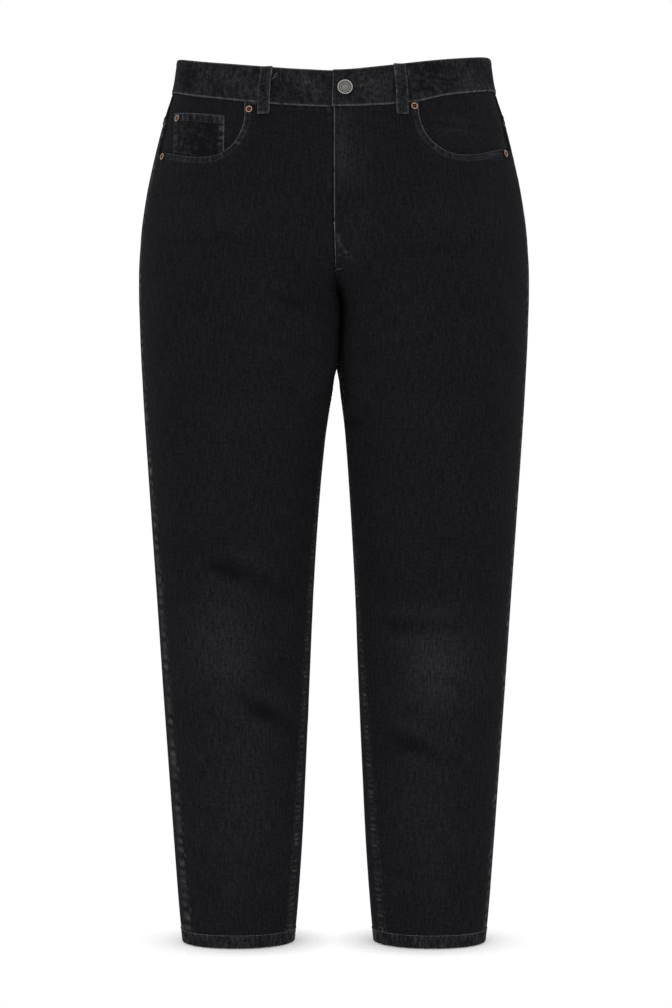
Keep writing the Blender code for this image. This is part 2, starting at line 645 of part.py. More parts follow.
def fly_shield():
    """The underlap behind the fly, from the waist seam to below the end of the zip."""
    parts = []
    for side, edges in ((RIGHT, (-SHIELD_EDGES[0], 5.0)), (LEFT, (5.0, SHIELD_EDGES[1]))):
        x = np.linspace(*edges, 3)
        start = waist_seam(side, turn_from_x(side, FRONT, x, np.full(3, SEAM_AT_FRONT))) - SEAM_GAP / 2
        height = start + (FLY_END - start) * np.linspace(0, 1, 7)[:, None]
        turn = turn_from_x(side, FRONT, np.broadcast_to(x, height.shape), height)
        parts.append((side, turn, height))
    outs = (-CLOTH - CHORD_ROOM, -2 * CLOTH - CHORD_ROOM)
    grids = [np.concatenate([cloth(*part, out) for part in parts], axis=1) for out in outs]
    wall("fly_shield", *grids, DENIM_TURNED)


def hem(side):
    """The turned-up hem: a thicker ring round the leg."""
    turn = np.linspace(-1, 3, 30, endpoint=False)
    height = np.array([HEM_TOP - SEAM_GAP, (HEM_TOP + HEM_BOTTOM) / 2, HEM_BOTTOM])[:, None]
    height = np.repeat(height, len(turn), axis=1)
    turn = np.broadcast_to(turn, height.shape)
    wall(f"hem_{SIDES[side]}", cloth(side, turn, height, HEM_OUT), cloth(side, turn, height, HEM_IN),
         ring=True)


def belt_loop(name, side, face, top_x, low_x):
    """A strip over the band: flat on the cloth at both ends, standing off the band between them."""
    middle = np.array([(top_x + low_x) / 2])
    near = np.array([SEAM_AT_SIDE])
    if face == FRONT:
        turn = turn_from_x(side, FRONT, middle, near)
    else:
        turn = turn_at(side, girth(side, 3.0, near) - middle, near)
    top = waist_top(side, turn)[0] - LOOP_BELOW_TOP
    low = waist_seam(side, turn)[0]
    run = low - LOOP_BELOW_SEAM - top
    seam = (low - top) / run
    down = np.array([0.0, 0.1, 0.2, 0.35, 0.55, seam - 0.1, seam, seam + 0.08, 1.0])
    rest = np.where(down < seam + 0.04, BAND_OUT, 0.0) + LOOP_REST
    out = rest + LOOP_STAND * np.array([0.0, 0.0, 0.3, 1.0, 1.0, 0.7, 0.5, 0.1, 0.0])
    across = np.linspace(-LOOP_WIDTH / 2, LOOP_WIDTH / 2, 3)
    x = top_x + (low_x - top_x) * down[:, None] + across
    height = np.repeat((top + run * down)[:, None], len(across), axis=1)
    out = np.repeat(out[:, None], len(across), axis=1)
    if face == FRONT:
        turn = turn_from_x(side, FRONT, x, height)
    else:
        turn = turn_at(side, girth(side, 3.0, height) - np.abs(x), height)
    grids = [cloth(side, turn, height, out + thick) for thick in (LOOP_THICK, 0.0)]
    if top_x == 0:
        for grid in grids:
            grid[..., 0] = x
    wall(name, *grids)


def turned(name, profile, steps, finish, side, x, height, out):
    """A round piece whose profile is spun about the cloth's normal, standing on the cloth."""
    mesh = bpy.data.meshes.new(name)
    points = [(r * MM, 0.0, z * MM) for r, z in profile]
    mesh.from_pydata(points, [(i, i + 1) for i in range(len(points) - 1)], [])
    made = add(name, mesh, finish)
    spin = made.modifiers.new("spin", "SCREW")
    spin.steps = spin.render_steps = steps
    spin.use_merge_vertices = True
    spin.merge_threshold = 0.00001
    spin.use_smooth_shade = True
    height = np.array(height)
    turn = turn_from_x(side, FRONT, x, height)
    place = Vector(cloth(side, turn, height, np.array(out)) * MM)
    up = Vector(outward(side, turn, height))
    made.matrix_world = Matrix.Translation(place) @ up.to_track_quat("Z", "Y").to_matrix().to_4x4()
    return made


def main():
    for thing in list(bpy.data.objects):
        bpy.data.objects.remove(thing)
    jeans = bpy.data.collections.new("mom_jeans")
    bpy.context.scene.collection.children.link(jeans)
    for side in SIDES:
        front_panel(side)
        back_panel(side)
        yoke(side)
        facing(side)
        back_pocket(side)
        hem(side)
    coin_pocket()
    waistband()
    fly_shield()
    for name, place in LOOPS.items():
        belt_loop(name, *place)
    for name, (side, x, height) in RIVETS.items():
        turned(name, RIVET_PROFILE, 14, COPPER, side, x, height, RIVET_REST)
    turned("button", BUTTON_PROFILE, 22, PEWTER, LEFT, *BUTTON_PLACE, BAND_OUT + LAP_RAISE + SEAM_GAP)


main()
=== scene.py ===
# %% [markdown]
# # Black mom jeans, filled out as if worn
#
# Real jeans are flat panels of denim, sewn edge to edge and pulled into shape by the body. Here
# there is no body, but the cloth keeps the shape that one gives it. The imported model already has
# every piece as a plain solid. This lesson gives each of them its fine form: rolled edges, puckers
# along the seams, creases, stitches, and denim that is worn pale where it rubs.

# %% Load the fixed frame
import json
import math

import bpy
import numpy as np
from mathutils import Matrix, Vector

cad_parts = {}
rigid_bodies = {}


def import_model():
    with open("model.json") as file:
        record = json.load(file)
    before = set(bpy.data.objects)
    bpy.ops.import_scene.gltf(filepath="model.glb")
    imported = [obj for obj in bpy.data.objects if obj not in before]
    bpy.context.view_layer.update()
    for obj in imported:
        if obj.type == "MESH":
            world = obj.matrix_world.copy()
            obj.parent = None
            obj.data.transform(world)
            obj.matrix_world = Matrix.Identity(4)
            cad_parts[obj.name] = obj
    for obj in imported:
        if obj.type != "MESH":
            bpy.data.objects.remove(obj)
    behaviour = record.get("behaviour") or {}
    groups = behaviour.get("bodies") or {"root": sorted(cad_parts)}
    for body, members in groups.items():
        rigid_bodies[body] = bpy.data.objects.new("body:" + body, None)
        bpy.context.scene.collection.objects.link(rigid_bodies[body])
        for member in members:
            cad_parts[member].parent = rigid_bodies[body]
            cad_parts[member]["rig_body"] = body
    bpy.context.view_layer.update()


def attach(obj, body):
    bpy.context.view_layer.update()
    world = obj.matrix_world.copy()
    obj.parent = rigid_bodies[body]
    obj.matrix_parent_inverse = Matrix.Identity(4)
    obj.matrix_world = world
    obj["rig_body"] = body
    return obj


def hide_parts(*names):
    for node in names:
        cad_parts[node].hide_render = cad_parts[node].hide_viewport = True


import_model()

# %% [markdown]
# ## The camera
#
# The picture was taken from straight ahead, about level with the thighs, by a lens that is long for
# its frame. The camera comes first, because every size on the cloth was read through it.

# %% Place the camera
FOCAL_PIXELS = 2200.0
PICTURE_HEIGHT = 1008.0
camera = bpy.data.cameras.new("camera")
camera.sensor_width = 36.0
camera.lens = camera.sensor_width * FOCAL_PIXELS / PICTURE_HEIGHT
camera_object = bpy.data.objects.new("camera", camera)
camera_object.location = (0.00224, -2.464, -0.476)
camera_object.rotation_euler = (math.pi / 2, 0, 0)
bpy.context.collection.objects.link(camera_object)
bpy.context.scene.camera = camera_object
print("lens:", round(camera.lens, 1), "mm")

# %% [markdown]
# ## The cut
#
# A pattern cutter works from a table of widths at each level of the body. The same table shapes the
# skin of the jeans here: every piece is cut from this one smooth skin, so that all the seams meet.
# A monotone cubic runs through each column, because it never swings past the given sizes.
# Sizes are in millimetres, and meshes are made in metres at the very end.

# %% Write the tables of the cut
MM = 0.001
RIGHT, LEFT = -1, 1
SIDES = {RIGHT: "right", LEFT: "left"}
FRONT, BACK = -1, 1

LEVEL_COLUMNS = ("height", "half_width", "half_gap", "middle", "crease", "front", "back")
LEVELS = (
    (30.0, 174.0, 0.05, 0.0, 1.0, 104.0, 113.0),
    (19.0, 175.0, 0.05, 0.0, 3.0, 106.0, 115.0),
    (-17.0, 180.3, 0.05, 0.0, 8.0, 110.0, 120.0),
    (-46.0, 189.2, 0.05, 0.0, 16.0, 115.0, 126.0),
    (-91.0, 200.6, 0.05, 0.0, 30.0, 122.0, 137.0),
    (-136.0, 209.9, 0.05, 0.0, 46.0, 127.0, 146.0),
    (-180.0, 215.6, 0.05, 0.3, 62.0, 128.5, 151.0),
    (-225.0, 217.8, 0.05, 2.5, 84.0, 127.0, 149.0),
    (-247.5, 217.7, 0.20, 5.0, 97.0, 124.0, 143.0),
    (-270.0, 217.0, 0.30, 5.4, 104.0, 120.0, 135.0),
    (-292.0, 216.3, 0.30, 4.6, 107.5, 116.5, 128.0),
    (-321.0, 215.0, 1.40, 3.6, 109.0, 112.0, 120.0),
    (-337.0, 214.1, 4.40, 3.0, 109.5, 109.5, 115.5),
    (-359.5, 212.9, 6.20, 2.6, 110.0, 106.5, 110.5),
    (-404.0, 210.1, 11.4, 1.6, 111.0, 101.0, 103.5),
    (-494.0, 204.0, 18.5, 0.6, 111.5, 90.0, 91.0),
    (-583.5, 197.8, 23.6, 0.3, 110.8, 81.0, 81.5),
    (-673.0, 191.8, 27.2, 0.0, 109.5, 73.5, 74.0),
    (-763.0, 185.4, 31.1, 0.0, 108.2, 66.0, 66.5),
    (-852.0, 179.0, 35.4, 0.0, 107.2, 59.0, 59.5),
    (-930.0, 173.0, 40.9, 0.0, 107.0, 53.5, 54.0),
    (-964.0, 169.5, 44.1, 0.0, 106.8, 51.0, 51.0),
)

# How far inside the outline each seam shows on the front, because the back panels are wider.
INSET_COLUMNS = ("height", "right_outseam", "right_inseam", "left_inseam", "left_outseam")
INSETS = (
    (30.0, 1.5, 0.0, 0.0, 1.5),
    (-17.0, 2.5, 0.0, 0.0, 2.0),
    (-90.0, 7.0, 0.0, 0.0, 4.0),
    (-247.5, 5.5, 0.0, 0.0, 5.0),
    (-400.0, 7.0, 2.0, 1.5, 5.0),
    (-540.0, 9.0, 4.5, 3.0, 5.0),
    (-700.0, 11.0, 7.0, 7.8, 5.0),
    (-920.0, 13.4, 9.0, 13.0, 5.5),
    (-964.0, 14.0, 9.0, 13.5, 5.5),
)
print("levels:", len(LEVELS), "inset rows:", len(INSETS))


# %% Read a table at any height
def smooth(rows, column, at):
    """Monotone cubic through one column of a table whose heights fall from row to row."""
    table = np.array(rows, float)[::-1]
    x, y = table[:, 0], table[:, column]
    step = np.diff(x)
    slope = np.diff(y) / step
    product = slope[:-1] * slope[1:]
    total = slope[:-1] + slope[1:]
    tangent = np.concatenate([slope[:1], np.zeros(len(slope) - 1), slope[-1:]])
    np.divide(2 * product, total, out=tangent[1:-1], where=product > 0)
    at = np.clip(at, x[0], x[-1])
    i = np.clip(np.searchsorted(x, at) - 1, 0, len(step) - 1)
    t = (at - x[i]) / step[i]
    start = (1 + 2 * t) * (1 - t) ** 2 * y[i] + t * (1 - t) ** 2 * step[i] * tangent[i]
    end = t * t * (3 - 2 * t) * y[i + 1] + t * t * (t - 1) * step[i] * tangent[i + 1]
    return start + end


def level(name, height):
    return smooth(LEVELS, LEVEL_COLUMNS.index(name), height)


def inset(side, seam, height):
    return smooth(INSETS, INSET_COLUMNS.index(f"{SIDES[side]}_{seam}"), height)


def ease(value, low, high):
    """0 below low, 1 above high, and a smooth step between them."""
    t = np.clip((value - low) / (high - low), 0, 1)
    return t * t * (3 - 2 * t)


def unit(vectors):
    return vectors / np.linalg.norm(vectors, axis=-1, keepdims=True)


print("hip:", round(float(2 * level("half_width", -225.0))), "mm across")

# %% [markdown]
# ## One skin for all the cloth
#
# A place on the skin is a side, a turn and a height. The turn counts quarters round the leg: -1 at
# the centre front or the inseam, 0 at the front crease line, 1 at the side, 2 at the back crease
# line and 3 at the centre back or the inseam again. Each quarter is part of a superellipse, a
# rounded curve that is a little squarer than an ellipse, as cloth over flesh is.

# %% Define the skin
FORK = -247.5
FORK_BLEND = 60.0
FRONT_CURVE = 65.0
BACK_CURVE = 95.0
OUTER_POWER = 2.15
THIGH_LEAN = -0.06
TURN_STEP = 0.02
NO_TURN = 1e-9
HEIGHT_STEP = 2.0


def centre_share(height, front):
    """The centre seam's share of the depth: the root of 1 minus the drop squared, 0 at the fork."""
    curve = np.where(front, FRONT_CURVE, BACK_CURVE)
    drop = np.clip((FORK + curve - height) / curve, 0, 1)
    return np.clip(np.sqrt(1 - drop**2), 0, 1 - 1e-6)


def inner_power(height):
    """The inner thighs are flatter near the fork, where they press together."""
    return 2.0 + 1.8 * ease(height, -450, -300)


def rounded(share, power):
    """The other coordinate of a superellipse of radius 1, so share**power + result**power = 1."""
    return (1 - np.clip(share, 0, 1) ** power) ** (1 / power)


def base(side, turn, height):
    """The skin without creases: superellipse quarters of each level's half width and depths."""
    turn, height = np.broadcast_arrays(np.asarray(turn, float), np.asarray(height, float))
    middle = side * level("middle", height)
    crease, half = level("crease", height), level("half_width", height)
    turn = np.where(turn > 3 + NO_TURN, turn - 4, turn)
    front = turn < 1
    inner = (turn < 0) | (turn > 2)
    power = np.where(inner, inner_power(height), OUTER_POWER)
    share = centre_share(height, front)
    reach = np.where(inner, rounded(share, power), 1.0)
    end = np.where(inner, np.arctan2(reach, share), math.pi / 2)
    angle = np.abs(np.where(front, turn, turn - 2)) * end
    sine, cosine = np.abs(np.sin(angle)), np.abs(np.cos(angle))
    radius = (sine**power + cosine**power) ** (-1 / power)
    across = sine * radius / reach
    inward = crease - middle - level("half_gap", height)
    x = crease + across * np.where(inner, -inward, half - crease)
    depth = np.where(front, -level("front", height), level("back", height))
    y = depth * cosine * radius
    leaning = ease(height, -390, -340) * (1 - ease(height, -262, -232))
    x = x + np.where(inner, side * THIGH_LEAN * leaning * y * across**2, 0)
    return np.stack([side * x, y, height], axis=-1)


def outward(side, turn, height):
    """The unit normal of the skin, from points a small step to each side."""
    turn, height = np.broadcast_arrays(np.asarray(turn, float), np.asarray(height, float))
    low = np.maximum(turn - TURN_STEP, -1)
    high = turn + TURN_STEP
    high = np.where((turn <= 3 + NO_TURN) & (height > FORK), np.minimum(high, 3), high)
    across = base(side, high, height) - base(side, low, height)
    up = base(side, turn, height + HEIGHT_STEP) - base(side, turn, height - HEIGHT_STEP)
    return unit(side * np.cross(across, up))


print("crease line of the thigh at:", base(LEFT, 0.0, -400.0).round(1))

# %% [markdown]
# ## Creases listed one by one
#
# Cloth simulation would give creases, but not these creases. Each one that shows is listed in a
# table: a soft trough with a raised shoulder on each side. The back of the knees and the seat get the
# same kind, because worn jeans bend there. Lengths are in millimetres.

# %% Table the creases and move the skin by them
# Each row: face, x, height, half length, half width, tilt in degrees, and depth.
FOLDS = (
    (FRONT, -103.0, -549.0, 40.0, 15.0, -25.0, 3.0),
    (FRONT, -80.0, -700.0, 36.0, 15.0, -36.0, 3.2),
    (FRONT, 93.0, -609.0, 38.0, 14.0, -2.0, 3.0),
    (FRONT, 88.0, -738.0, 30.0, 14.0, -23.0, 3.0),
    (BACK, -112.0, -596.0, 46.0, 15.0, 12.0, 3.4),
    (BACK, -100.0, -652.0, 42.0, 15.0, -16.0, 3.0),
    (BACK, 108.0, -584.0, 44.0, 15.0, -14.0, 3.2),
    (BACK, 114.0, -646.0, 46.0, 15.0, 10.0, 3.2),
    (BACK, -120.0, -322.0, 60.0, 18.0, 14.0, 3.0),
    (BACK, 116.0, -318.0, 56.0, 18.0, -12.0, 3.0),
)
FINE_FOLDS = (
    (FRONT, 76.0, -884.0, 20.0, 6.0, -24.0, 1.0),
    (FRONT, -46.0, -262.0, 44.0, 7.0, -26.0, 1.3),
    (FRONT, 52.0, -266.0, 42.0, 7.0, 24.0, 1.2),
    (FRONT, -70.0, -300.0, 50.0, 9.0, -14.0, 1.0),
    (FRONT, 76.0, -306.0, 52.0, 9.0, 12.0, 1.0),
    (FRONT, -128.0, -640.0, 26.0, 8.0, -32.0, 1.1),
    (FRONT, 8.0, -198.0, 7.0, 1.9, -48.0, 0.45),
    (FRONT, 15.0, -205.0, 8.0, 2.0, -40.0, 0.45),
    (FRONT, 9.0, -211.0, 7.0, 1.7, 16.0, 0.4),
    (FRONT, 26.0, -212.0, 14.0, 2.6, 24.0, 0.4),
    (FRONT, 66.0, -56.0, 5.0, 1.8, -40.0, 0.35),
    (FRONT, 122.0, -668.0, 28.0, 8.0, -16.0, 1.1),
    (FRONT, 118.0, -204.0, 60.0, 9.0, 4.0, 0.9),
    (FRONT, -122.0, -196.0, 60.0, 9.0, -3.0, 0.9),
    (BACK, -128.0, -574.0, 30.0, 7.0, -4.0, 1.6),
    (BACK, -96.0, -624.0, 34.0, 8.0, 8.0, 1.6),
    (BACK, 124.0, -612.0, 32.0, 7.0, -6.0, 1.6),
    (BACK, 92.0, -560.0, 30.0, 7.0, 12.0, 1.4),
    (BACK, -60.0, -286.0, 36.0, 8.0, 30.0, 1.6),
    (BACK, 60.0, -284.0, 36.0, 8.0, -30.0, 1.6),
    (BACK, -110.0, -884.0, 24.0, 8.0, 12.0, 1.2),
    (BACK, 104.0, -902.0, 24.0, 8.0, -16.0, 1.2),
)


def trough(over, along):
    """(2 over^2 - 1) exp(-over^2 - along^2): a groove with a raised shoulder on each side."""
    return (2 * over**2 - 1) * np.exp(-(over**2) - along**2)


def folding(points, folds=FOLDS + FINE_FOLDS):
    """How far the creases move the skin out, in millimetres."""
    moved = np.zeros(points.shape[:-1])
    for face, x, height, half_length, half_width, tilt, depth in folds:
        turned = math.radians(tilt)
        right, up = points[..., 0] - x, points[..., 2] - height
        along = (right * math.cos(turned) + up * math.sin(turned)) / half_length
        over = (up * math.cos(turned) - right * math.sin(turned)) / half_width
        moved += np.where(points[..., 1] * face > 0, depth * trough(over, along), 0)
    return moved


def cloth(side, turn, height, out=0.0):
    """A point of the cloth, moved out from the skin by some millimetres."""
    skin = base(side, turn, height)
    return skin + (folding(skin) + out)[..., None] * outward(side, turn, height)


print("creases:", len(FOLDS), "main and", len(FINE_FOLDS), "fine")

# %% [markdown]
# ## Lengths along the cloth
#
# A maker measures along the cloth, not across the room. These helpers turn millimetres along the
# cloth into turns of the skin and back.

# %% Measure round the legs
def quarter_lengths(side, height):
    """Near enough the lengths of a level's four quarters, from the inner front to the inner back."""
    middle = side * level("middle", height)
    crease = level("crease", height)
    inward = crease - middle - level("half_gap", height)
    lengths = []
    for name, curve in (("front", FRONT_CURVE), ("back", BACK_CURVE)):
        depth = level(name, height)
        sink = 1 - ease(height, FORK - FORK_BLEND, FORK + curve)
        inner = np.hypot(inward, depth * sink) * (1 + 0.11 * sink)
        outer = math.pi / 2 * np.sqrt(((level("half_width", height) - crease) ** 2 + depth**2) / 2)
        lengths += [(inner, outer)]
    (inner_front, outer_front), (inner_back, outer_back) = lengths
    return inner_front, outer_front, outer_back, inner_back


def girth(side, turn, height):
    """Length along the cloth from the front crease line to a turn."""
    total = np.minimum(turn, 0) * quarter_lengths(side, height)[0]
    lengths = quarter_lengths(side, height)
    for i, length in enumerate([*lengths[1:], lengths[0]]):
        total = total + np.clip(turn - i, 0, 1) * length
    return total


def turn_at(side, length, height):
    """The turn at a length along the cloth from the front crease line, the inverse of girth."""
    lengths = quarter_lengths(side, height)
    turn = np.minimum(length / lengths[0], 0)
    for quarter in [*lengths[1:], lengths[0]]:
        turn = turn + np.clip(length / quarter, 0, 1)
        length = length - quarter
    return turn


def turn_from_x(side, face, x, height):
    """The turn of the front or back point that is x from the middle."""
    half, crease = level("half_width", height), level("crease", height)
    outer = np.clip((x - crease) / (half - crease), 0, 1)
    outer_turn = np.arctan2(outer, rounded(outer, OUTER_POWER)) / (math.pi / 2)
    power, share = inner_power(height), centre_share(height, face == FRONT)
    inward = crease - side * level("middle", height) - level("half_gap", height)
    reach = rounded(share, power)
    inner = np.clip((crease - x) / inward, 0, 1) * reach
    inner_turn = -np.arctan2(inner, rounded(inner, power)) / np.arctan2(reach, share)
    turn = np.where(x > crease, outer_turn, inner_turn)
    return turn if face == FRONT else 2 - turn


def outseam(side, height):
    x = level("half_width", height) - inset(side, "outseam", height)
    return turn_from_x(side, FRONT, x, height)


def inseam(side, height):
    """The turn of the inseam below the fork, and of the centre front above it."""
    edge = side * level("middle", height) + level("half_gap", height)
    below = turn_from_x(side, FRONT, edge + inset(side, "inseam", height), height)
    return np.where(height < FORK, below, -1.0)


def nudge(side, turn, height, by):
    """A turn moved by some millimetres round the cloth."""
    step = base(side, turn + TURN_STEP, height) - base(side, turn, height)
    return turn + by * TURN_STEP / np.linalg.norm(step, axis=-1)


print("hem, all round:", round(float(sum(quarter_lengths(LEFT, -957.0)))), "mm")

# %% [markdown]
# ## Where the seams run
#
# The waistband dips at the front and rises over the hips, the yoke is deepest at the centre back,
# and the pocket mouths are scooped. Each is a curve on the skin.

# %% Define the seams
SEAM_GAP = 0.1
SEAM_AT_FRONT, SEAM_AT_SIDE, SEAM_AT_BACK = -51.6, -19.0, -12.0
TOP_AT_FRONT, TOP_AT_SIDE, TOP_AT_BACK = -11.0, 18.4, 27.0
BAND_LIFT = {RIGHT: 0.5, LEFT: 5.0}
SEAM_LIFTS, TOP_LIFTS = (0.38, 0.7), (-0.2, 0.35)
BAND_HOLLOW = 0.4
YOKE_AT_SIDE, YOKE_AT_BACK = 34.0, 72.0
MOUTHS = {
    RIGHT: ((96.0, -43.0), (96.8, -68.0), (107.6, -90.0), (124.0, -101.0), (143.0, -102.8), (164.0, -98.6),
            (186.0, -92.0)),
    LEFT: ((90.2, -38.0), (92.0, -62.5), (100.4, -82.0), (115.0, -94.8), (133.0, -100.4), (158.0, -97.6),
           (186.0, -86.5)),
}


def round_body(side, turn, height):
    """0 at the centre front or back and 1 at the side: the distance from the middle as a share."""
    return np.abs(base(side, turn, height)[..., 0]) / level("half_width", height)


def band_edge(side, turn, at_front, at_side, at_back, late):
    """A waistband edge: a hollowed parabola across the front, and a plain one across the back."""
    share = round_body(side, turn, np.full(np.shape(turn), (at_front + at_side) / 2))
    lift = BAND_LIFT[side] * 2 * share * np.sqrt(np.clip(1 - share**2, 0, 1)) * ease(share, *late)
    rise = share**2 - BAND_HOLLOW * share**4 * (1 - share**4)
    front = at_front + (at_side - at_front) * rise + lift
    back = at_back + (at_side - at_back) * share**2
    return np.where(turn < 1, front, back)


def waist_seam(side, turn):
    return band_edge(side, turn, SEAM_AT_FRONT, SEAM_AT_SIDE, SEAM_AT_BACK, SEAM_LIFTS)


def waist_top(side, turn):
    return band_edge(side, turn, TOP_AT_FRONT, TOP_AT_SIDE, TOP_AT_BACK, TOP_LIFTS)


def yoke_seam(side, turn):
    """The yoke is deepest at the centre back."""
    share = round_body(side, turn, np.full(np.shape(turn), -70.0))
    share = np.where(turn < 1, 1, share)
    return waist_seam(side, turn) - YOKE_AT_SIDE - (YOKE_AT_BACK - YOKE_AT_SIDE) * (1 - share)


def mouth(side, shares):
    """The pocket mouth as (length, height) pairs: a smooth curve through its points."""
    points = np.array(MOUTHS[side])
    points = np.concatenate([[2 * points[0] - points[1]], points, [2 * points[-1] - points[-2]]])
    spans = len(points) - 3
    place = shares * spans
    i = np.minimum(place.astype(int), spans - 1)
    t = (place - i)[:, None]
    before, start, end, after = (points[i + k] for k in range(4))
    curve = 0.5 * (2 * start + (end - before) * t + (2 * before - 5 * start + 4 * end - after) * t**2
                   + (3 * start - before - 3 * end + after) * t**3)
    turn = turn_from_x(side, FRONT, curve[:, 0], curve[:, 1])
    turn[-1] = outseam(side, curve[-1, 1])
    curve[0, 1] = waist_seam(side, turn[:1])[0] - SEAM_GAP / 2
    return np.stack([girth(side, turn, curve[:, 1]), curve[:, 1]], axis=1)


for side in SIDES:
    print(SIDES[side], "pocket mouth ends at", mouth(side, np.array([0.0, 1.0]))[-1].round(1))

# %% [markdown]
# ## Grids that crowd at their edges
#
# What shows on cloth is at its edges: the roll of a fold, a row of stitches, a pucker. So the grids
# of points are close together within 10 mm of each edge and wider in between.

# %% Spread the points of a grid
EDGE_STEPS = np.array([0.0, 0.35, 0.8, 1.5, 2.4, 3.6, 5.0, 6.6, 8.4, 10.5])


def crowded(length, middle, edge=EDGE_STEPS):
    """Shares from 0 to 1 of a length: fixed steps at both ends, and even ones between them."""
    length = np.asarray(length, float)[..., None]
    first = edge / length
    t = np.linspace(0, 1, middle + 2)[1:-1]
    centre = first[..., -1:] * (1 - t) + (1 - first[..., -1:]) * t
    return np.concatenate([first, centre, 1 - first[..., ::-1]], axis=-1)


def coons(top, bottom, left, right, across, down):
    """A grid that fills four edges: both rulings added, and the straight one taken away."""
    v, u = down[:, None, None], across[None, :, None]
    ruled = (1 - v) * top[None] + v * bottom[None] + (1 - u) * left[:, None] + u * right[:, None]
    corners = (1 - v) * ((1 - u) * top[0] + u * top[-1]) + v * ((1 - u) * bottom[0] + u * bottom[-1])
    return ruled - corners


def run(points, axis):
    """Length along the cloth from a grid's first row or column, added up point by point."""
    steps = np.linalg.norm(np.diff(points, axis=axis), axis=-1)
    start = np.zeros_like(np.take(steps, [0], axis=axis))
    return np.concatenate([start, np.cumsum(steps, axis=axis)], axis=axis)


def nearest(points, line):
    """The distance from each point to a line of close points, and how far along the line that is.

    The second is a mean of the lengths along the line, weighted by exp(-(gap^2 - least^2) / 8).
    """
    gaps = np.linalg.norm(points.reshape(-1, 1, 3) - line[None], axis=-1)
    least = gaps.min(axis=1)
    length = np.concatenate([[0], np.cumsum(np.linalg.norm(np.diff(line, axis=0), axis=1))])
    weight = np.exp(-(gaps**2 - least[:, None] ** 2) / 8)
    place = (weight * length).sum(axis=1) / weight.sum(axis=1)
    return least.reshape(points.shape[:-1]), place.reshape(points.shape[:-1])


print("columns of a front panel:", crowded(200.0, 44).shape[-1])

# %% [markdown]
# ## What sewing does to cloth
#
# Every stitched edge has more than one layer under it, so it stands proud. Its edge is rolled, and
# the thread shortens it a little, which makes puckers. In wear the high places rub pale. One helper
# gives all of that for one edge, from the distance to it and the length along it.

# %% Shape a sewn edge
def uneven(along, length, seed):
    """A wave that never quite repeats: three sines of unlike lengths, swelling and fading."""
    phase = np.random.default_rng(seed).uniform(0, 2 * math.pi, 4)
    angle = along * 2 * math.pi / length
    wave = (np.sin(angle + phase[0]) + 0.6 * np.sin(1.37 * angle + phase[1])
            + 0.5 * np.sin(0.61 * angle + phase[2]))
    return wave * (0.65 + 0.35 * np.sin(0.17 * angle + phase[3])) / 1.7


def sewn(away, along, seed, lift=0.0, width=8.0, pucker=0.3, length=11.0, roll=0.4, skew=0.0,
         steady=0.0):
    """Relief and rubbed share beside an edge, from the distance to it and the length along it.

    Relief = lift inside the seam allowance - a rolled edge + uneven puckers across the allowance.
    Skew makes the puckers lean, as a hem's do. Their crests rub by steady + (0.75 - steady) * wave,
    so a steady share joins the worn spots into one strip.
    """
    lifted = lift * (1 - ease(away, width - 1.0, width + 1.4))
    rolled = -roll * (1 - np.sqrt(np.clip(1 - np.clip(1 - away / 0.9, 0, 1) ** 2, 0, 1)))
    zone = 1 - ease(away, 0.75 * width, 1.2 * width)
    wave = uneven(along + skew * away, length, seed)
    crests = np.clip(steady + (0.75 - steady) * wave, 0, 1)
    rub = zone * crests * (0.6 + 0.4 * uneven(along, 5.3 * length, seed + 1))
    return lifted + rolled + pucker * zone * wave, np.clip(rub, 0, 1)


def layered(*edges):
    """Reliefs of several edges added, and the strongest rub of them."""
    return sum(relief for relief, _ in edges), np.max([rub for _, rub in edges], axis=0)


sample = sewn(np.array([0.0, 4, 12]), np.array([0.0, 5, 9]), 1)
print("a sewn edge at 0, 4 and 12 mm:", sample[0].round(2))
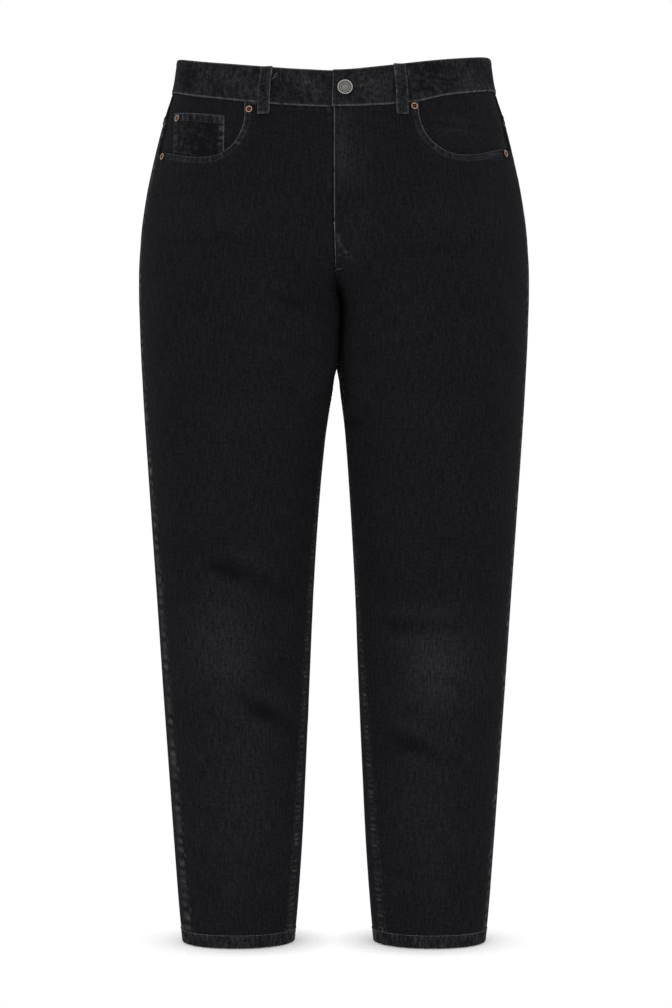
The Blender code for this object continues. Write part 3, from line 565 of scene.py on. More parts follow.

# %% [markdown]
# ## Where the denim fades, and where shade is painted
#
# Black denim goes grey on the thighs, knees and seat, beside creases, and in faint bars over the
# hips. Each pale place is a soft spot, given by its middle, its size and how pale it is. Shade is
# painted in with the same kind of spot, darker, in creases, near the fork, on the inner thigh and in
# the buttonhole slit, and the troughs of all the creases are painted darker too.

# %% Table the faded places and the painted shade
# Each row: face, x, height, half width, half height, and how pale, below 0 where it is darker.
FADES_AND_PAINTED_SHADE = (
    (FRONT, -100.0, -400.0, 60.0, 170.0, 0.006),
    (FRONT, 100.0, -400.0, 60.0, 170.0, 0.005),
    (FRONT, -122.0, -628.0, 36.0, 52.0, 0.046),
    (FRONT, 112.0, -652.0, 38.0, 50.0, 0.058),
    (FRONT, -104.0, -790.0, 46.0, 120.0, 0.026),
    (FRONT, 100.0, -810.0, 46.0, 110.0, 0.012),
    # Painted shade: darker spots in the creases of the knees and shins, on the inner left thigh and near
    # the fork.
    (FRONT, -125.0, -545.0, 12.0, 6.0, -0.022),
    (FRONT, -111.0, -553.0, 9.0, 4.5, -0.022),
    (FRONT, -73.7, -704.0, 12.0, 9.0, -0.022),
    (FRONT, 80.0, -742.0, 26.0, 9.0, -0.018),
    (FRONT, 22.0, -388.0, 16.0, 7.0, -0.018),
    (FRONT, -31.0, -258.0, 26.0, 9.0, -0.014),
    (FRONT, 104.0, -800.0, 40.0, 120.0, 0.008),
    (FRONT, -130.0, -168.0, 70.0, 16.0, 0.008),
    (FRONT, 130.0, -168.0, 70.0, 16.0, 0.008),
    (FRONT, 22.0, -130.0, 16.0, 70.0, 0.02),
    (FRONT, 8.0, -96.0, 6.5, 30.0, 0.05),
    (FRONT, 13.0, -62.0, 9.0, 6.0, 0.03),
    # A darker spot on the fly.
    (FRONT, 22.0, -152.0, 16.0, 14.0, -0.016),
    # Painted shade in the buttonhole slit, on the waistband.
    (FRONT, 24.0, -31.7, 3.4, 1.3, -0.12),
    (FRONT, 28.5, -30.4, 3.0, 1.2, -0.12),
    # Worn, paler spots again.
    (FRONT, 4.6, -194.0, 1.6, 4.6, 0.24),
    (FRONT, 7.5, -201.0, 1.8, 2.2, 0.14),
    (FRONT, 11.5, -207.0, 2.2, 1.6, 0.14),
    (FRONT, 6.0, -210.5, 2.0, 1.4, 0.12),
    (FRONT, 14.5, -212.5, 2.4, 1.4, 0.1),
    (FRONT, 20.0, -216.0, 4.0, 1.3, 0.06),
    (FRONT, 130.0, -74.0, 30.0, 14.0, 0.008),
    (BACK, -95.0, -160.0, 60.0, 60.0, 0.03),
    (BACK, 95.0, -160.0, 60.0, 60.0, 0.028),
    (BACK, -110.0, -420.0, 60.0, 150.0, 0.01),
    (BACK, 110.0, -420.0, 60.0, 150.0, 0.01),
    (BACK, -108.0, -700.0, 40.0, 90.0, 0.012),
    (BACK, 108.0, -700.0, 40.0, 90.0, 0.012),
)


def fading_and_painted_shade(points):
    """A sum of soft spots, exp(-(right^2 + up^2)), paler shoulders beside the creases, and painted shade
    that darkens their troughs.
    """
    pale = np.zeros(points.shape[:-1])
    for face, x, height, half_width, half_height, amount in FADES_AND_PAINTED_SHADE:
        right = (points[..., 0] - x) / half_width
        up = (points[..., 2] - height) / half_height
        pale += np.where(points[..., 1] * face > 0, amount * np.exp(-(right**2) - up**2), 0)
    # Worn pale on the creases' shoulders, and painted shade in their troughs.
    return pale + 0.008 * np.clip(folding(points), 0, 2) - 0.006 * np.clip(-folding(points), 0, 2.5)


print("fade at the left knee:", fading_and_painted_shade(base(LEFT, 0.05, -652.0)).round(2))

# %% [markdown]
# ## Materials
#
# A small class wraps one socket of a material, so that shader maths reads like plain Python. Black
# denim is a twill: dyed threads run down the cloth in front, and pale ones show between them in
# steep diagonal lines. The `cloth` UV map is in metres along the cloth, so the weave follows every
# panel. Two attributes come with each mesh: one says how faded a place is, and is lower where shade
# is painted in, and `rim` says how many millimetres it is from a rubbed edge.

# %% Wrap the shader nodes
class Value:
    """One output of a node. Arithmetic on it adds Math nodes."""

    def __init__(self, finish, socket):
        self.finish = finish
        self.socket = socket

    def math(self, operation, *values):
        inputs = dict(enumerate(values))
        return self.finish.node("ShaderNodeMath", {"operation": operation}, inputs)

    def __add__(self, other):
        return self.math("ADD", self, other)

    __radd__ = __add__

    def __sub__(self, other):
        return self.math("SUBTRACT", self, other)

    def __rsub__(self, other):
        return self.math("SUBTRACT", other, self)

    def __mul__(self, other):
        return self.math("MULTIPLY", self, other)

    __rmul__ = __mul__

    def __truediv__(self, other):
        return self.math("DIVIDE", self, other)

    def sine(self):
        return self.math("SINE", self)

    def held(self):
        """Held between 0 and 1."""
        return self.math("MINIMUM", self.math("MAXIMUM", self, 0.0), 1.0)

    def step(self, low, high):
        """0 at low, 1 at high, and a straight line between them."""
        return ((self - low) / (high - low)).held()


class Finish:
    """A material and the nodes in it."""

    def __init__(self, name):
        self.material = bpy.data.materials.new(name)
        self.material.use_nodes = True
        self.tree = self.material.node_tree
        self.tree.nodes.clear()

    def node(self, kind, settings=None, inputs=None, output=0):
        made = self.tree.nodes.new(kind)
        for name, value in (settings or {}).items():
            setattr(made, name, value)
        for name, value in (inputs or {}).items():
            if isinstance(value, Value):
                self.tree.links.new(value.socket, made.inputs[name])
            else:
                made.inputs[name].default_value = value
        return made if output is None else Value(self, made.outputs[output])

    def attribute(self, name):
        return self.node("ShaderNodeAttribute", {"attribute_name": name}, {}, "Fac")

    def noise(self, place, scale, detail=2.0, roughness=0.5):
        inputs = {"Vector": place, "Scale": scale, "Detail": detail, "Roughness": roughness}
        return self.node("ShaderNodeTexNoise", {"noise_dimensions": "3D"}, inputs)

    def vector(self, operation, place, by):
        return self.node("ShaderNodeVectorMath", {"operation": operation}, {0: place, 1: by})

    def mix(self, share, low, high):
        """A colour between two others."""
        inputs = {0: share, 6: low, 7: high}
        return self.node("ShaderNodeMix", {"data_type": "RGBA"}, inputs, 2)

    def finished(self, **sockets):
        """The shader and the output, with the sockets' names written with _ for a space."""
        inputs = {name.replace("_", " "): value for name, value in sockets.items()}
        shader = self.node("ShaderNodeBsdfPrincipled", {}, inputs)
        self.node("ShaderNodeOutputMaterial", {}, {"Surface": shader}, None)
        return self.material


print("shader helpers ready")

# %% [markdown]
# Denim's own colour comes from the twill, from slubs, which are uneven threads that run down the
# cloth, and from soft clouds of wear. The rubbed edge is a thin pale line that comes and goes.

# %% Make the denims
BLACK = (0.0058, 0.0059, 0.0073, 1.0)
PALE = (0.16, 0.162, 0.168, 1.0)
TWILL_PITCH = 0.85
TWILL_ACROSS, TWILL_UP = 0.87, -0.5
WOVEN_PALE = 0.0185


def denim(name, dark=BLACK, pale=PALE, fade=1.0, rubbed=1.0, weave=1.0, mottle=1.0, blotch=0.07):
    """Twill denim: lines of sine(across x 0.87 - up x 0.5), slubs, clouds, worn places and painted shade.

    The share of pale thread = worn places and clouds, made uneven by the speckle, + the twill's own
    lines + the rubbed line at the rim. The worn places go below 0 where shade is painted in. `mottle`
    strengthens the speckle, and `blotch` the clouds.
    """
    finish = Finish(name)
    place = finish.node("ShaderNodeUVMap", {"uv_map": "cloth"})
    parts = finish.node("ShaderNodeSeparateXYZ", {}, {0: place})
    across = parts * 1000.0
    up = Value(finish, parts.socket.node.outputs[1]) * 1000.0
    flat = finish.vector("MULTIPLY", place, (1000.0, 1000.0, 1000.0))
    long_threads = finish.vector("MULTIPLY", place, (620.0, 55.0, 1.0))
    slub = finish.noise(long_threads, 1.0, 3.0, 0.6)
    grain = finish.noise(flat, 0.75, 2.0, 0.6)
    cloud = finish.noise(flat, 0.022, 3.0, 0.55)
    spots = finish.noise(flat, 0.16, 3.0, 0.6)
    fleck = finish.noise(flat, 0.34, 2.0, 0.55)
    turns = 2 * math.pi / TWILL_PITCH
    angle = across * (TWILL_ACROSS * turns) + up * (TWILL_UP * turns)
    twill = (angle + grain * 2.4).sine() * 0.5 + 0.5
    worn = finish.attribute("worn")
    rim = finish.attribute("rim")
    edge = 1.0 - rim.step(0.45, 1.15)
    line = edge * spots.step(0.22, 0.58) * (0.66 * rubbed)
    clouds = (cloud - 0.5) * 0.35 + (spots - 0.5) * 0.4
    # The worn share is lower where shade is painted: in creases, under the band and beside the fly.
    faded_and_shaded = worn * fade * (1.0 + clouds * 1.6) + clouds * blotch + WOVEN_PALE
    speckle = (grain - 0.5) * 0.5 + (slub - 0.5) * 0.9 + (fleck - 0.5) * 0.8
    threads = speckle * (0.056 * mottle) + twill * 0.006 * weave
    share = (faded_and_shaded * (1.0 + speckle * 2.8) + threads + line).held()
    colour = finish.mix(share, dark, pale)
    height = twill * 0.3 * weave + slub * 0.9 + grain * 0.8
    bump = finish.node("ShaderNodeBump", {}, {"Strength": 0.55, "Distance": 0.00022, "Height": height})
    return finish.finished(Base_Color=colour, Roughness=0.95, Diffuse_Roughness=0.9,
                           Specular_IOR_Level=0.03, Normal=bump)


BODY = denim("black_denim")
BAND = denim("black_denim_band", rubbed=0.55, mottle=1.9, blotch=0.55)
POCKET = denim("black_denim_unfaded", fade=0.7)
WRONG_SIDE = denim("denim_wrong_side", (0.032, 0.033, 0.036, 1.0), (0.15, 0.155, 0.165, 1.0), fade=0.3,
                   weave=2.0)
print("denims:", BODY.name, BAND.name, POCKET.name, WRONG_SIDE.name)

# %% [markdown]
# Thread is spun and slightly glossy. Here it is dark grey, to match the cloth. The button is pewter
# and the rivets are copper, both darkened in their low places.

# %% Make the thread and the metals
def thread(name, colour, pale):
    """Two plies twisted together: fine stripes across the Object coordinates."""
    finish = Finish(name)
    place = finish.node("ShaderNodeTexCoord", {}, {}, "Object")
    fine = finish.noise(place, 1400.0, 2.0, 0.6)
    wide = finish.noise(place, 60.0, 2.0, 0.6)
    share = (wide.step(0.35, 0.7) * 0.6 + (fine - 0.5) * 0.8).held()
    return finish.finished(Base_Color=finish.mix(share, colour, pale), Roughness=0.7,
                           Specular_IOR_Level=0.2)


def worn_metal(name, bright, dull, low, high):
    """Metal that is bright where the attribute `high_place` is high, and dull in the low places."""
    finish = Finish(name)
    place = finish.node("ShaderNodeTexCoord", {}, {}, "Object")
    blot = finish.noise(place, 900.0, 3.0, 0.6)
    high_place = finish.attribute("high_place")
    share = (high_place * 0.9 + (blot - 0.5) * 0.5).held()
    rough = low + (high - low) * (1.0 - share)
    return finish.finished(Base_Color=finish.mix(share, dull, bright), Metallic=1.0, Roughness=rough)


THREAD = thread("grey_thread", (0.016, 0.0165, 0.018, 1.0), (0.06, 0.06, 0.063, 1.0))
DARK_THREAD = thread("dark_thread", (0.007, 0.007, 0.008, 1.0), (0.02, 0.02, 0.022, 1.0))
PALE_THREAD = thread("pale_thread", (0.06, 0.06, 0.062, 1.0), (0.2, 0.2, 0.2, 1.0))
PEWTER = worn_metal("pewter", (0.4, 0.385, 0.36, 1.0), (0.05, 0.047, 0.043, 1.0), 0.34, 0.5)
COPPER = worn_metal("copper", (0.42, 0.27, 0.21, 1.0), (0.022, 0.007, 0.004, 1.0), 0.36, 0.55)
print("thread and metals:", THREAD.name, DARK_THREAD.name, PEWTER.name, COPPER.name)

# %% [markdown]
# ## From a grid of points to a wall of cloth
#
# Each piece is a closed wall: its face side, its wrong side and a rim round them. The arrays go into
# the mesh in one step, with the UV map and the attributes that the materials read.

# %% Make meshes from grids
def strips(grid, other):
    """Faces between two rows of point numbers."""
    return np.stack([grid[:-1], other[:-1], other[1:], grid[1:]], axis=1)


def numbered(rows, columns, first=0):
    """A grid of point numbers."""
    return first + np.arange(rows * columns).reshape(rows, columns)


def wrapped(grid, axis=1):
    """The grid with its first column, or row, once more at its end."""
    return np.concatenate([grid, np.take(grid, [0], axis=axis)], axis=axis)


def quads(grid):
    """All the faces of a grid of point numbers."""
    return np.concatenate([strips(grid[i], grid[i + 1]) for i in range(len(grid) - 1)])


def fan(centre, ring):
    """Triangles from one point to a ring of points."""
    return [[centre, a, b] for a, b in zip(ring[:-1].tolist(), ring[1:].tolist())]


def wall_faces(rows, columns):
    """Faces of the outer side, the inner side and the rim of a wall, as point numbers."""
    out = numbered(rows, columns)
    back = numbered(rows, columns, rows * columns)
    inner = np.concatenate([strips(back[i + 1], back[i]) for i in range(rows - 1)])
    rim = np.concatenate([strips(back[0], out[0]), strips(out[-1], back[-1]),
                          strips(out[:, 0], back[:, 0]), strips(back[:, -1], out[:, -1])])
    return quads(out), inner, rim


def turned_out(points, faces):
    """The faces, all turned round if the ones with four corners enclose a volume below zero."""
    four = np.array([face for face in faces if len(face) == 4])
    a, b, c, d = (points.reshape(-1, 3)[four[:, k]] for k in range(4))
    volume = (a * np.cross(b, c)).sum() + (a * np.cross(c, d)).sum()
    return [face[::-1] for face in faces] if volume < 0 else faces


def make_mesh(name, points, faces, uv=None, marks=None):
    """A mesh in metres from points in millimetres, with a UV map and attributes of the same grid."""
    mesh = bpy.data.meshes.new(name)
    mesh.from_pydata((points.reshape(-1, 3) * MM).tolist(), [], faces)
    if uv is not None:
        corners = np.array([number for face in faces for number in face])
        layer = mesh.uv_layers.new(name="cloth")
        layer.data.foreach_set("uv", (uv.reshape(-1, 2) * MM)[corners].ravel().astype(np.float32))
    for key, values in (marks or {}).items():
        attribute = mesh.attributes.new(key, "FLOAT", "POINT")
        attribute.data.foreach_set("value", np.ravel(values).astype(np.float32))
    return mesh


def link(name, mesh, *materials):
    """Put a mesh into the scene. A piece that takes the place of a node is named after it."""
    if name in bpy.data.objects:
        name += "_piece"
    for material in materials:
        mesh.materials.append(material)
    mesh.shade_smooth()
    made = bpy.data.objects.new(name, mesh)
    bpy.context.collection.objects.link(made)
    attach(made, "root")
    return made


def replace_node(name, mesh, *materials):
    """Link a mesh that takes the place of the node of its name."""
    made = link(name, mesh, *materials)
    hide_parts(name)
    return made


def trim(name, points, faces, material):
    """Link a small piece of thread that belongs to a node."""
    link(name, make_mesh(name, points, faces), material)


def make_wall(name, outer, inner, uv, marks, face_side):
    """A closed wall between two grids of points, with its UV map and its attributes."""
    rows, columns = outer.shape[:2]
    points = np.concatenate([outer.reshape(-1, 3), inner.reshape(-1, 3)])
    sides = wall_faces(rows, columns)
    faces = turned_out(points, np.concatenate(sides).tolist())
    both = {key: np.tile(np.broadcast_to(values, (rows, columns)).ravel(), 2)
            for key, values in marks.items()}
    mesh = make_mesh(name, points, faces, np.tile(uv.reshape(-1, 2), (2, 1)), both)
    kinds = np.repeat([0, 1, 0], [len(part) for part in sides]).astype(np.int32)
    mesh.polygons.foreach_set("material_index", kinds)
    return replace_node(name, mesh, face_side, WRONG_SIDE)


print("mesh helpers ready")

# %% [markdown]
# ## The panels
#
# A panel is a grid of turns and heights, its relief, what wears on it and the shade painted on it.
# The stitches need the same surface later, so each panel keeps its grid, its outer points and its
# normals.

# %% Make one piece of cloth from its grid
CLOTH = 1.2
KEPT = {}


def grain_place(skin):
    """The length across each row, from the upright line 60 mm beside the centre, as the grain runs."""
    across = run(skin, 1)
    start = []
    for x, row in zip(-np.abs(skin[..., 0]), across):
        order = np.argsort(x)
        start.append(np.interp(-60.0, x[order], row[order]))
    return across - np.array(start)[:, None]


def piece(name, side, turn, height, relief, rub, rim, face_side=BODY, out=0.0, thick=CLOTH):
    """A piece cut from the skin, moved out by its relief. It keeps its surface for the stitches."""
    normal = outward(side, turn, height)
    skin = base(side, turn, height)
    skin = skin + folding(skin)[..., None] * normal
    outer = skin + (relief + out)[..., None] * normal
    inner = skin + (np.minimum(relief, 0) * 0.3 + out - thick)[..., None] * normal
    uv = np.stack([grain_place(skin), height], axis=-1)
    # Below 0, the rub is painted shadow, as on the fronts under the band.
    marks = {"worn": fading_and_painted_shade(skin) + 0.5 * rub, "rim": rim}
    KEPT[name] = {"outer": outer, "normal": normal}
    return make_wall(name, outer, inner, uv, marks, face_side)


FAR = 99.0
JOIN = -166.0
CENTRE_JOIN = -146.0
MOUTH_BEND = 2.0
HEM_TOP, HEM_BOTTOM = -949.0, -964.0
TRIM = 0.05
PANEL_MIDDLE = 44


def level_heights():
    """Heights of the level rows: about 3 mm apart, and closer where the fork curves under."""
    curve = FORK + 12 * (1 - np.sin(np.radians(np.linspace(0, 90, 10))))
    below = FORK - np.array([0.8, 1.8, 3.2, 5.0, 7.2])
    legs = np.linspace(FORK - 10, HEM_TOP + 4, 310)
    return np.concatenate([np.arange(JOIN, FORK + 13, -2.6), curve, below, legs,
                           [HEM_TOP + 2.4, HEM_TOP + 1.0, HEM_TOP + SEAM_GAP / 2]])


def level_rows(side, front):
    """Turns and heights of a panel below the join, from the outseam to the inseam."""
    height = level_heights()
    start = nudge(side, outseam(side, height), height, -TRIM if front else TRIM)
    end = inseam(side, height)
    if front:
        end = np.where(height > FORK, -1.0, nudge(side, end, height, TRIM))
    else:
        end = np.where(height > FORK, 3.0, nudge(side, end + 4, height, -TRIM))
    first, last = girth(side, start, height), girth(side, end, height)
    shares = crowded(np.abs(last - first), PANEL_MIDDLE)
    length = first[:, None] * (1 - shares) + last[:, None] * shares
    heights = np.repeat(height[:, None], shares.shape[1], axis=1)
    turn = turn_at(side, length, heights)
    turn[:, 0], turn[:, -1] = start, end
    return turn, heights


print("level rows:", len(level_heights()))

# %% [markdown]
# The front panel starts as a patch between the pocket mouth and the centre front, and goes on in
# level rows to the hem. The left front laps over the right one at the fly.

# %% Cut the front panels
FLY_BOTTOM = -222.0
UPPER_ROWS = np.concatenate([[0.0, 0.005, 0.014], np.linspace(0.028, 1.0, 50)])


def front_grid(side):
    """Turns and heights of a front, and the number of rows beside the pocket mouth."""
    across = crowded(170.0, PANEL_MIDDLE)
    edge = mouth(side, UPPER_ROWS)
    centre_height = SEAM_AT_FRONT + (CENTRE_JOIN - SEAM_AT_FRONT) * UPPER_ROWS
    centre = np.stack([girth(side, np.full(len(edge), -1.0), centre_height), centre_height], axis=1)
    top_length = edge[0, 0] * (1 - across) + centre[0, 0] * across
    top_turn = turn_at(side, top_length, np.full(len(across), SEAM_AT_FRONT + 6))
    top = np.stack([top_length, waist_seam(side, top_turn) - SEAM_GAP / 2], axis=1)
    bend = np.stack([across, 1 - (1 - across) ** MOUTH_BEND], axis=1)
    low = edge[-1] * (1 - bend) + centre[-1] * bend
    edge[0, 1], centre[0, 1] = top[0, 1], top[-1, 1]
    shaped = coons(top, low, edge, centre, across, UPPER_ROWS)
    length, height = shaped[..., 0], shaped[..., 1]
    turn = turn_at(side, length, height)
    turn[:, -1] = -1.0
    turn[-1, 0] = nudge(side, turn[-1, 0], height[-1, 0], -TRIM)
    lower_turn, lower_height = level_rows(side, True)
    steps = np.linspace(0, 1, 14)[1:-1, None]
    blend_height = height[-1] * (1 - steps) + JOIN * steps
    start = nudge(side, outseam(side, blend_height[:, 0]), blend_height[:, 0], -TRIM)
    first = girth(side, start, blend_height[:, 0])[:, None]
    last = girth(side, np.full(len(steps), -1.0), blend_height[:, -1])[:, None]
    blend_turn = turn_at(side, first * (1 - across) + last * across, blend_height)
    blend_turn[:, 0], blend_turn[:, -1] = start, -1.0
    return (np.concatenate([turn, blend_turn, lower_turn]),
            np.concatenate([height, blend_height, lower_height]), len(edge))


def front_panel(side):
    """A front: the mouth's and the seams' reliefs, the fly's raised edge on the left one, painted shadow
    under the band, and on the right one painted shadow beside the fly.
    """
    turn, height, beside_mouth = front_grid(side)
    skin = base(side, turn, height)
    across, down = run(skin, 1), run(skin, 0)
    from_centre = across[:, -1:] - across
    from_mouth, along_mouth = np.full(turn.shape, FAR), np.zeros(turn.shape)
    near = slice(0, beside_mouth + 13)
    from_mouth[near], along_mouth[near] = nearest(skin[near], skin[:beside_mouth, 0])
    rows = np.arange(len(turn))[:, None]
    from_outseam = np.where(rows >= beside_mouth, across, FAR)
    on_fly = height > FORK
    seed = 10 if side == RIGHT else 20
    centre_lift = np.where(height > FLY_BOTTOM, 0.7, 0.25) * (1 if side == LEFT else -1)
    relief, rub = layered(
        sewn(from_mouth, along_mouth, seed, 0.5, 7.4, 0.2, 6.5, 0.5, 0.0, 0.15),
        sewn(down, across, seed + 1, -0.35, 3.0, 0.0, 10.0, 0.1),
        sewn(from_outseam, height, seed + 2, 0.1, 4.0, 0.14, 12.0, 0.7),
        sewn(np.where(on_fly, FAR, from_centre), height, seed + 3, 0.2, 4.0, 0.16, 7.0, 0.6, 0.0, 0.1),
        sewn(np.where(on_fly, from_centre, FAR), height, seed + 5, 0.0, 7.0, 0.08, 12.0, 0.2))
    if side == LEFT:
        facing_share = 0.55 * (1 - ease(from_centre, 33.0, 40.0)) * (height > FLY_BOTTOM)
        lap = np.maximum(1 - ease(from_centre, 1.0, 6.0), facing_share)
    else:
        lap = 1 - ease(from_centre, 4.0, 12.0)
    relief = relief + np.where(on_fly, centre_lift * lap, 0)
    rub = rub * np.where(on_fly & (from_centre < 16) & (down > 6), 0.15, 1.0)
    # Painted shadow: a dark line just under the waistband.
    rub = rub - 0.16 * np.exp(-((down / 1.8) ** 2))
    # Painted shadow: a dark line beside the fly edge, under the lapped left front.
    if side == RIGHT:
        rub = rub - 0.16 * np.exp(-((from_centre / 1.6) ** 2)) * on_fly
    rub = rub * np.where(height > JOIN - 12, 0.7, 0.62)
    rim = np.minimum(from_mouth, np.where(on_fly & (side == LEFT), from_centre, FAR))
    return piece(f"front_{SIDES[side]}", side, turn, height, relief, rub, rim)


fronts = [front_panel(side) for side in SIDES]
print("front panels:", [(p.name, len(p.data.polygons)) for p in fronts])

# %% [markdown]
# The back panel runs from the yoke seam to the hem, and tucks under the yoke at its top. At the
# centre back the left side laps over the right one.

# %% Cut the back panels and the yokes
CENTRE_BACK = {RIGHT: (-0.45, 2.0), LEFT: (0.45, 8.0)}


def upper_back(side, top_edge, bottom_edge, rows):
    """Turns and heights between two edges that run from the outseam to the centre back."""
    rows = np.asarray(rows)
    height = np.full((len(rows), len(crowded(200.0, PANEL_MIDDLE))), SEAM_AT_SIDE - YOKE_AT_SIDE)
    for _ in range(4):
        start = nudge(side, outseam(side, height[:, 0]), height[:, 0], TRIM)
        first = girth(side, start, height[:, 0])
        last = girth(side, np.full(len(rows), 3.0), height[:, -1])
        shares = crowded(last - first, PANEL_MIDDLE)
        turn = turn_at(side, first[:, None] * (1 - shares) + last[:, None] * shares, height)
        turn[:, 0], turn[:, -1] = start, 3.0
        height = top_edge(side, turn) * (1 - rows[:, None]) + bottom_edge(side, turn) * rows[:, None]
    return turn, height


def under_yoke(side, turn):
    return yoke_seam(side, turn) - SEAM_GAP / 2


def at_join(side, turn):
    """The level where the lower rows begin, the same on both sides."""
    return np.full(turn.shape, JOIN)


def under_band(side, turn):
    return waist_seam(side, turn) - SEAM_GAP / 2


def over_back(side, turn):
    return yoke_seam(side, turn) + SEAM_GAP / 2


def back_panel(side):
    rows = np.concatenate([[0.0, 0.006, 0.016], np.linspace(0.03, 1.0, 34)])
    turn, height = upper_back(side, under_yoke, at_join, rows)
    lower_turn, lower_height = level_rows(side, False)
    turn = np.concatenate([turn[:-1], lower_turn])
    height = np.concatenate([height[:-1], lower_height])
    skin = base(side, turn, height)
    across, down = run(skin, 1), run(skin, 0)
    from_centre = across[:, -1:] - across
    on_seat = height > FORK
    seed = 30 if side == RIGHT else 40
    over, allowance = CENTRE_BACK[side]
    relief, rub = layered(
        sewn(down, across, seed, -0.4, 3.0, 0.1, 10.0, 0.1),
        sewn(across, height, seed + 1, 0.35, 10.5, 0.3, 12.0, 0.7, 0.0, 0.22),
        sewn(np.where(on_seat, from_centre, FAR), height, seed + 2, over, allowance, 0.24, 9.0, 0.3),
        sewn(np.where(on_seat, FAR, from_centre), height, seed + 3, 0.3, 9.0, 0.3, 6.0, 0.7, 0.0, 0.12),
        sewn(height - HEM_TOP, across, seed + 4, 0.0, 5.0, 0.0, 6.5, 0.0))
    rim = np.where(on_seat & (side == LEFT), from_centre, FAR)
    return piece(f"back_{SIDES[side]}", side, turn, height, relief, 1.15 * rub, rim)


def yoke(side):
    rows = crowded(34.0, 12, EDGE_STEPS[:6])
    turn, height = upper_back(side, under_band, over_back, rows)
    skin = base(side, turn, height)
    across, down = run(skin, 1), run(skin, 0)
    from_centre, from_seam = across[:, -1:] - across, down[-1:] - down
    seed = 50 if side == RIGHT else 60
    over, allowance = CENTRE_BACK[side]
    relief, rub = layered(
        sewn(down, across, seed, -0.35, 3.0, 0.1, 10.0, 0.1),
        sewn(from_seam, across, seed + 1, 0.5, 9.0, 0.24, 10.0, 0.4),
        sewn(across, height, seed + 2, 0.1, 9.0, 0.26, 10.0, 0.35),
        sewn(from_centre, height, seed + 3, over, allowance, 0.2, 9.0, 0.3))
    rim = np.minimum(from_seam, np.where(side == LEFT, from_centre, FAR))
    return piece(f"yoke_{SIDES[side]}", side, turn, height, relief, rub, rim)


backs = [back_panel(side) for side in SIDES] + [yoke(side) for side in SIDES]
print("back panels and yokes:", [(p.name, len(p.data.polygons)) for p in backs])

# %% [markdown]
# The facing is the cloth seen inside a pocket mouth. It lies one layer lower than the panel, and
# its margin goes on under the panel's edge.

# %% Cut the pocket facings and the coin pocket
FACING_OUT = -1.3
COIN_SIDE = RIGHT
COIN_TOP_OUTER, COIN_TOP_INNER = (175.0, -47.5), (118.0, -58.7)
COIN_CLEAR, COIN_OUT = 1.0, -0.1


def facing(side):
    """A patch between the waist seam, the outseam and the mouth, and a hidden margin of one step."""
    count = 40
    shares = np.linspace(0, 1, 2 * count + 1)
    edge = mouth(side, shares)
    seam_top = waist_seam(side, outseam(side, np.array([SEAM_AT_SIDE])))[0] - SEAM_GAP / 2
    outer_height = np.linspace(seam_top, edge[-1, 1], count + 1)
    outer = np.stack([girth(side, outseam(side, outer_height), outer_height), outer_height], axis=1)
    top_length = np.linspace(outer[0, 0], edge[0, 0], count + 1)
    top_turn = turn_at(side, top_length, np.full(count + 1, -30.0))
    top = np.stack([top_length, waist_seam(side, top_turn) - SEAM_GAP / 2], axis=1)
    right, bottom = edge[:count + 1], edge[count:][::-1].copy()
    right[0], outer[0] = top[-1], top[0]
    even = np.linspace(0, 1, count + 1)
    grid = coons(top, bottom, outer, right, even, even)
    grid = np.concatenate([grid, grid[:, -1:] * 2 - grid[:, -4:-3]], axis=1)
    grid = np.concatenate([grid, grid[-1:] * 2 - grid[-4:-3]], axis=0)
    grid[0, -1, 1] = grid[0, -2, 1]
    height = grid[..., 1]
    turn = turn_at(side, grid[..., 0], height)
    edge_turn = nudge(side, outseam(side, height[:, 0]), height[:, 0], -TRIM)
    turn[:, 0] = edge_turn
    turn = np.minimum(turn, edge_turn[:, None])
    soft = 0.7 * trough((height + 68) / 4.5, (np.abs(base(side, turn, height)[..., 0]) - 128) / 26)
    relief = (soft if side == LEFT else 0 * soft) - 0.25
    rub = np.clip(soft, 0, 1) * 0.2
    return piece(f"pocket_facing_{SIDES[side]}", side, turn, height, relief, rub, FAR, POCKET, FACING_OUT)


def coin_pocket():
    """The small pocket on the right facing, down to where the front panel covers it."""
    side = COIN_SIDE
    across = crowded(58.0, 24)
    down = crowded(50.0, 18)
    x = COIN_TOP_OUTER[0] + (COIN_TOP_INNER[0] - COIN_TOP_OUTER[0]) * across
    top = COIN_TOP_OUTER[1] + (COIN_TOP_INNER[1] - COIN_TOP_OUTER[1]) * across
    edge = mouth(side, np.linspace(0, 1, 90))
    edge_x = np.abs(base(side, turn_at(side, edge[:, 0], edge[:, 1]), edge[:, 1])[:, 0])
    low = np.interp(x, edge_x[38:], edge[38:, 1]) + COIN_CLEAR
    height = top * (1 - down[:, None]) + low * down[:, None]
    turn = turn_from_x(side, FRONT, np.broadcast_to(x, height.shape), height)
    skin = base(side, turn, height)
    right, below = run(skin, 1), run(skin, 0)
    relief, rub = layered(
        sewn(below, right, 71, 0.4, 9.0, 0.08, 9.0, 0.4, 0.0, 0.2),
        sewn(right, below, 72, 0.25, 6.0, 0.08, 9.0, 0.4, 0.0, 0.15),
        sewn(right[:, -1:] - right, below, 73, 0.25, 6.0, 0.08, 9.0, 0.4, 0.0, 0.2))
    rim = np.minimum(np.minimum(below, right), right[:, -1:] - right)
    return piece("coin_pocket", side, turn, height, relief, rub, rim, BAND, COIN_OUT, 1.0)


facings = [facing(side) for side in SIDES] + [coin_pocket()]
print("facings and coin pocket:", [(p.name, len(p.data.polygons)) for p in facings])

# %% [markdown]
# Back pockets are patches with a turned edge all round, laid on the back panels.

# %% Lay the back pockets
POCKET_TOP, POCKET_BOTTOM = (42.0, 172.0), (45.0, 156.0)
POCKET_DROP, POCKET_SIDES, POCKET_POINT = 20.0, 136.0, 20.0
POCKET_OUT = 2.2


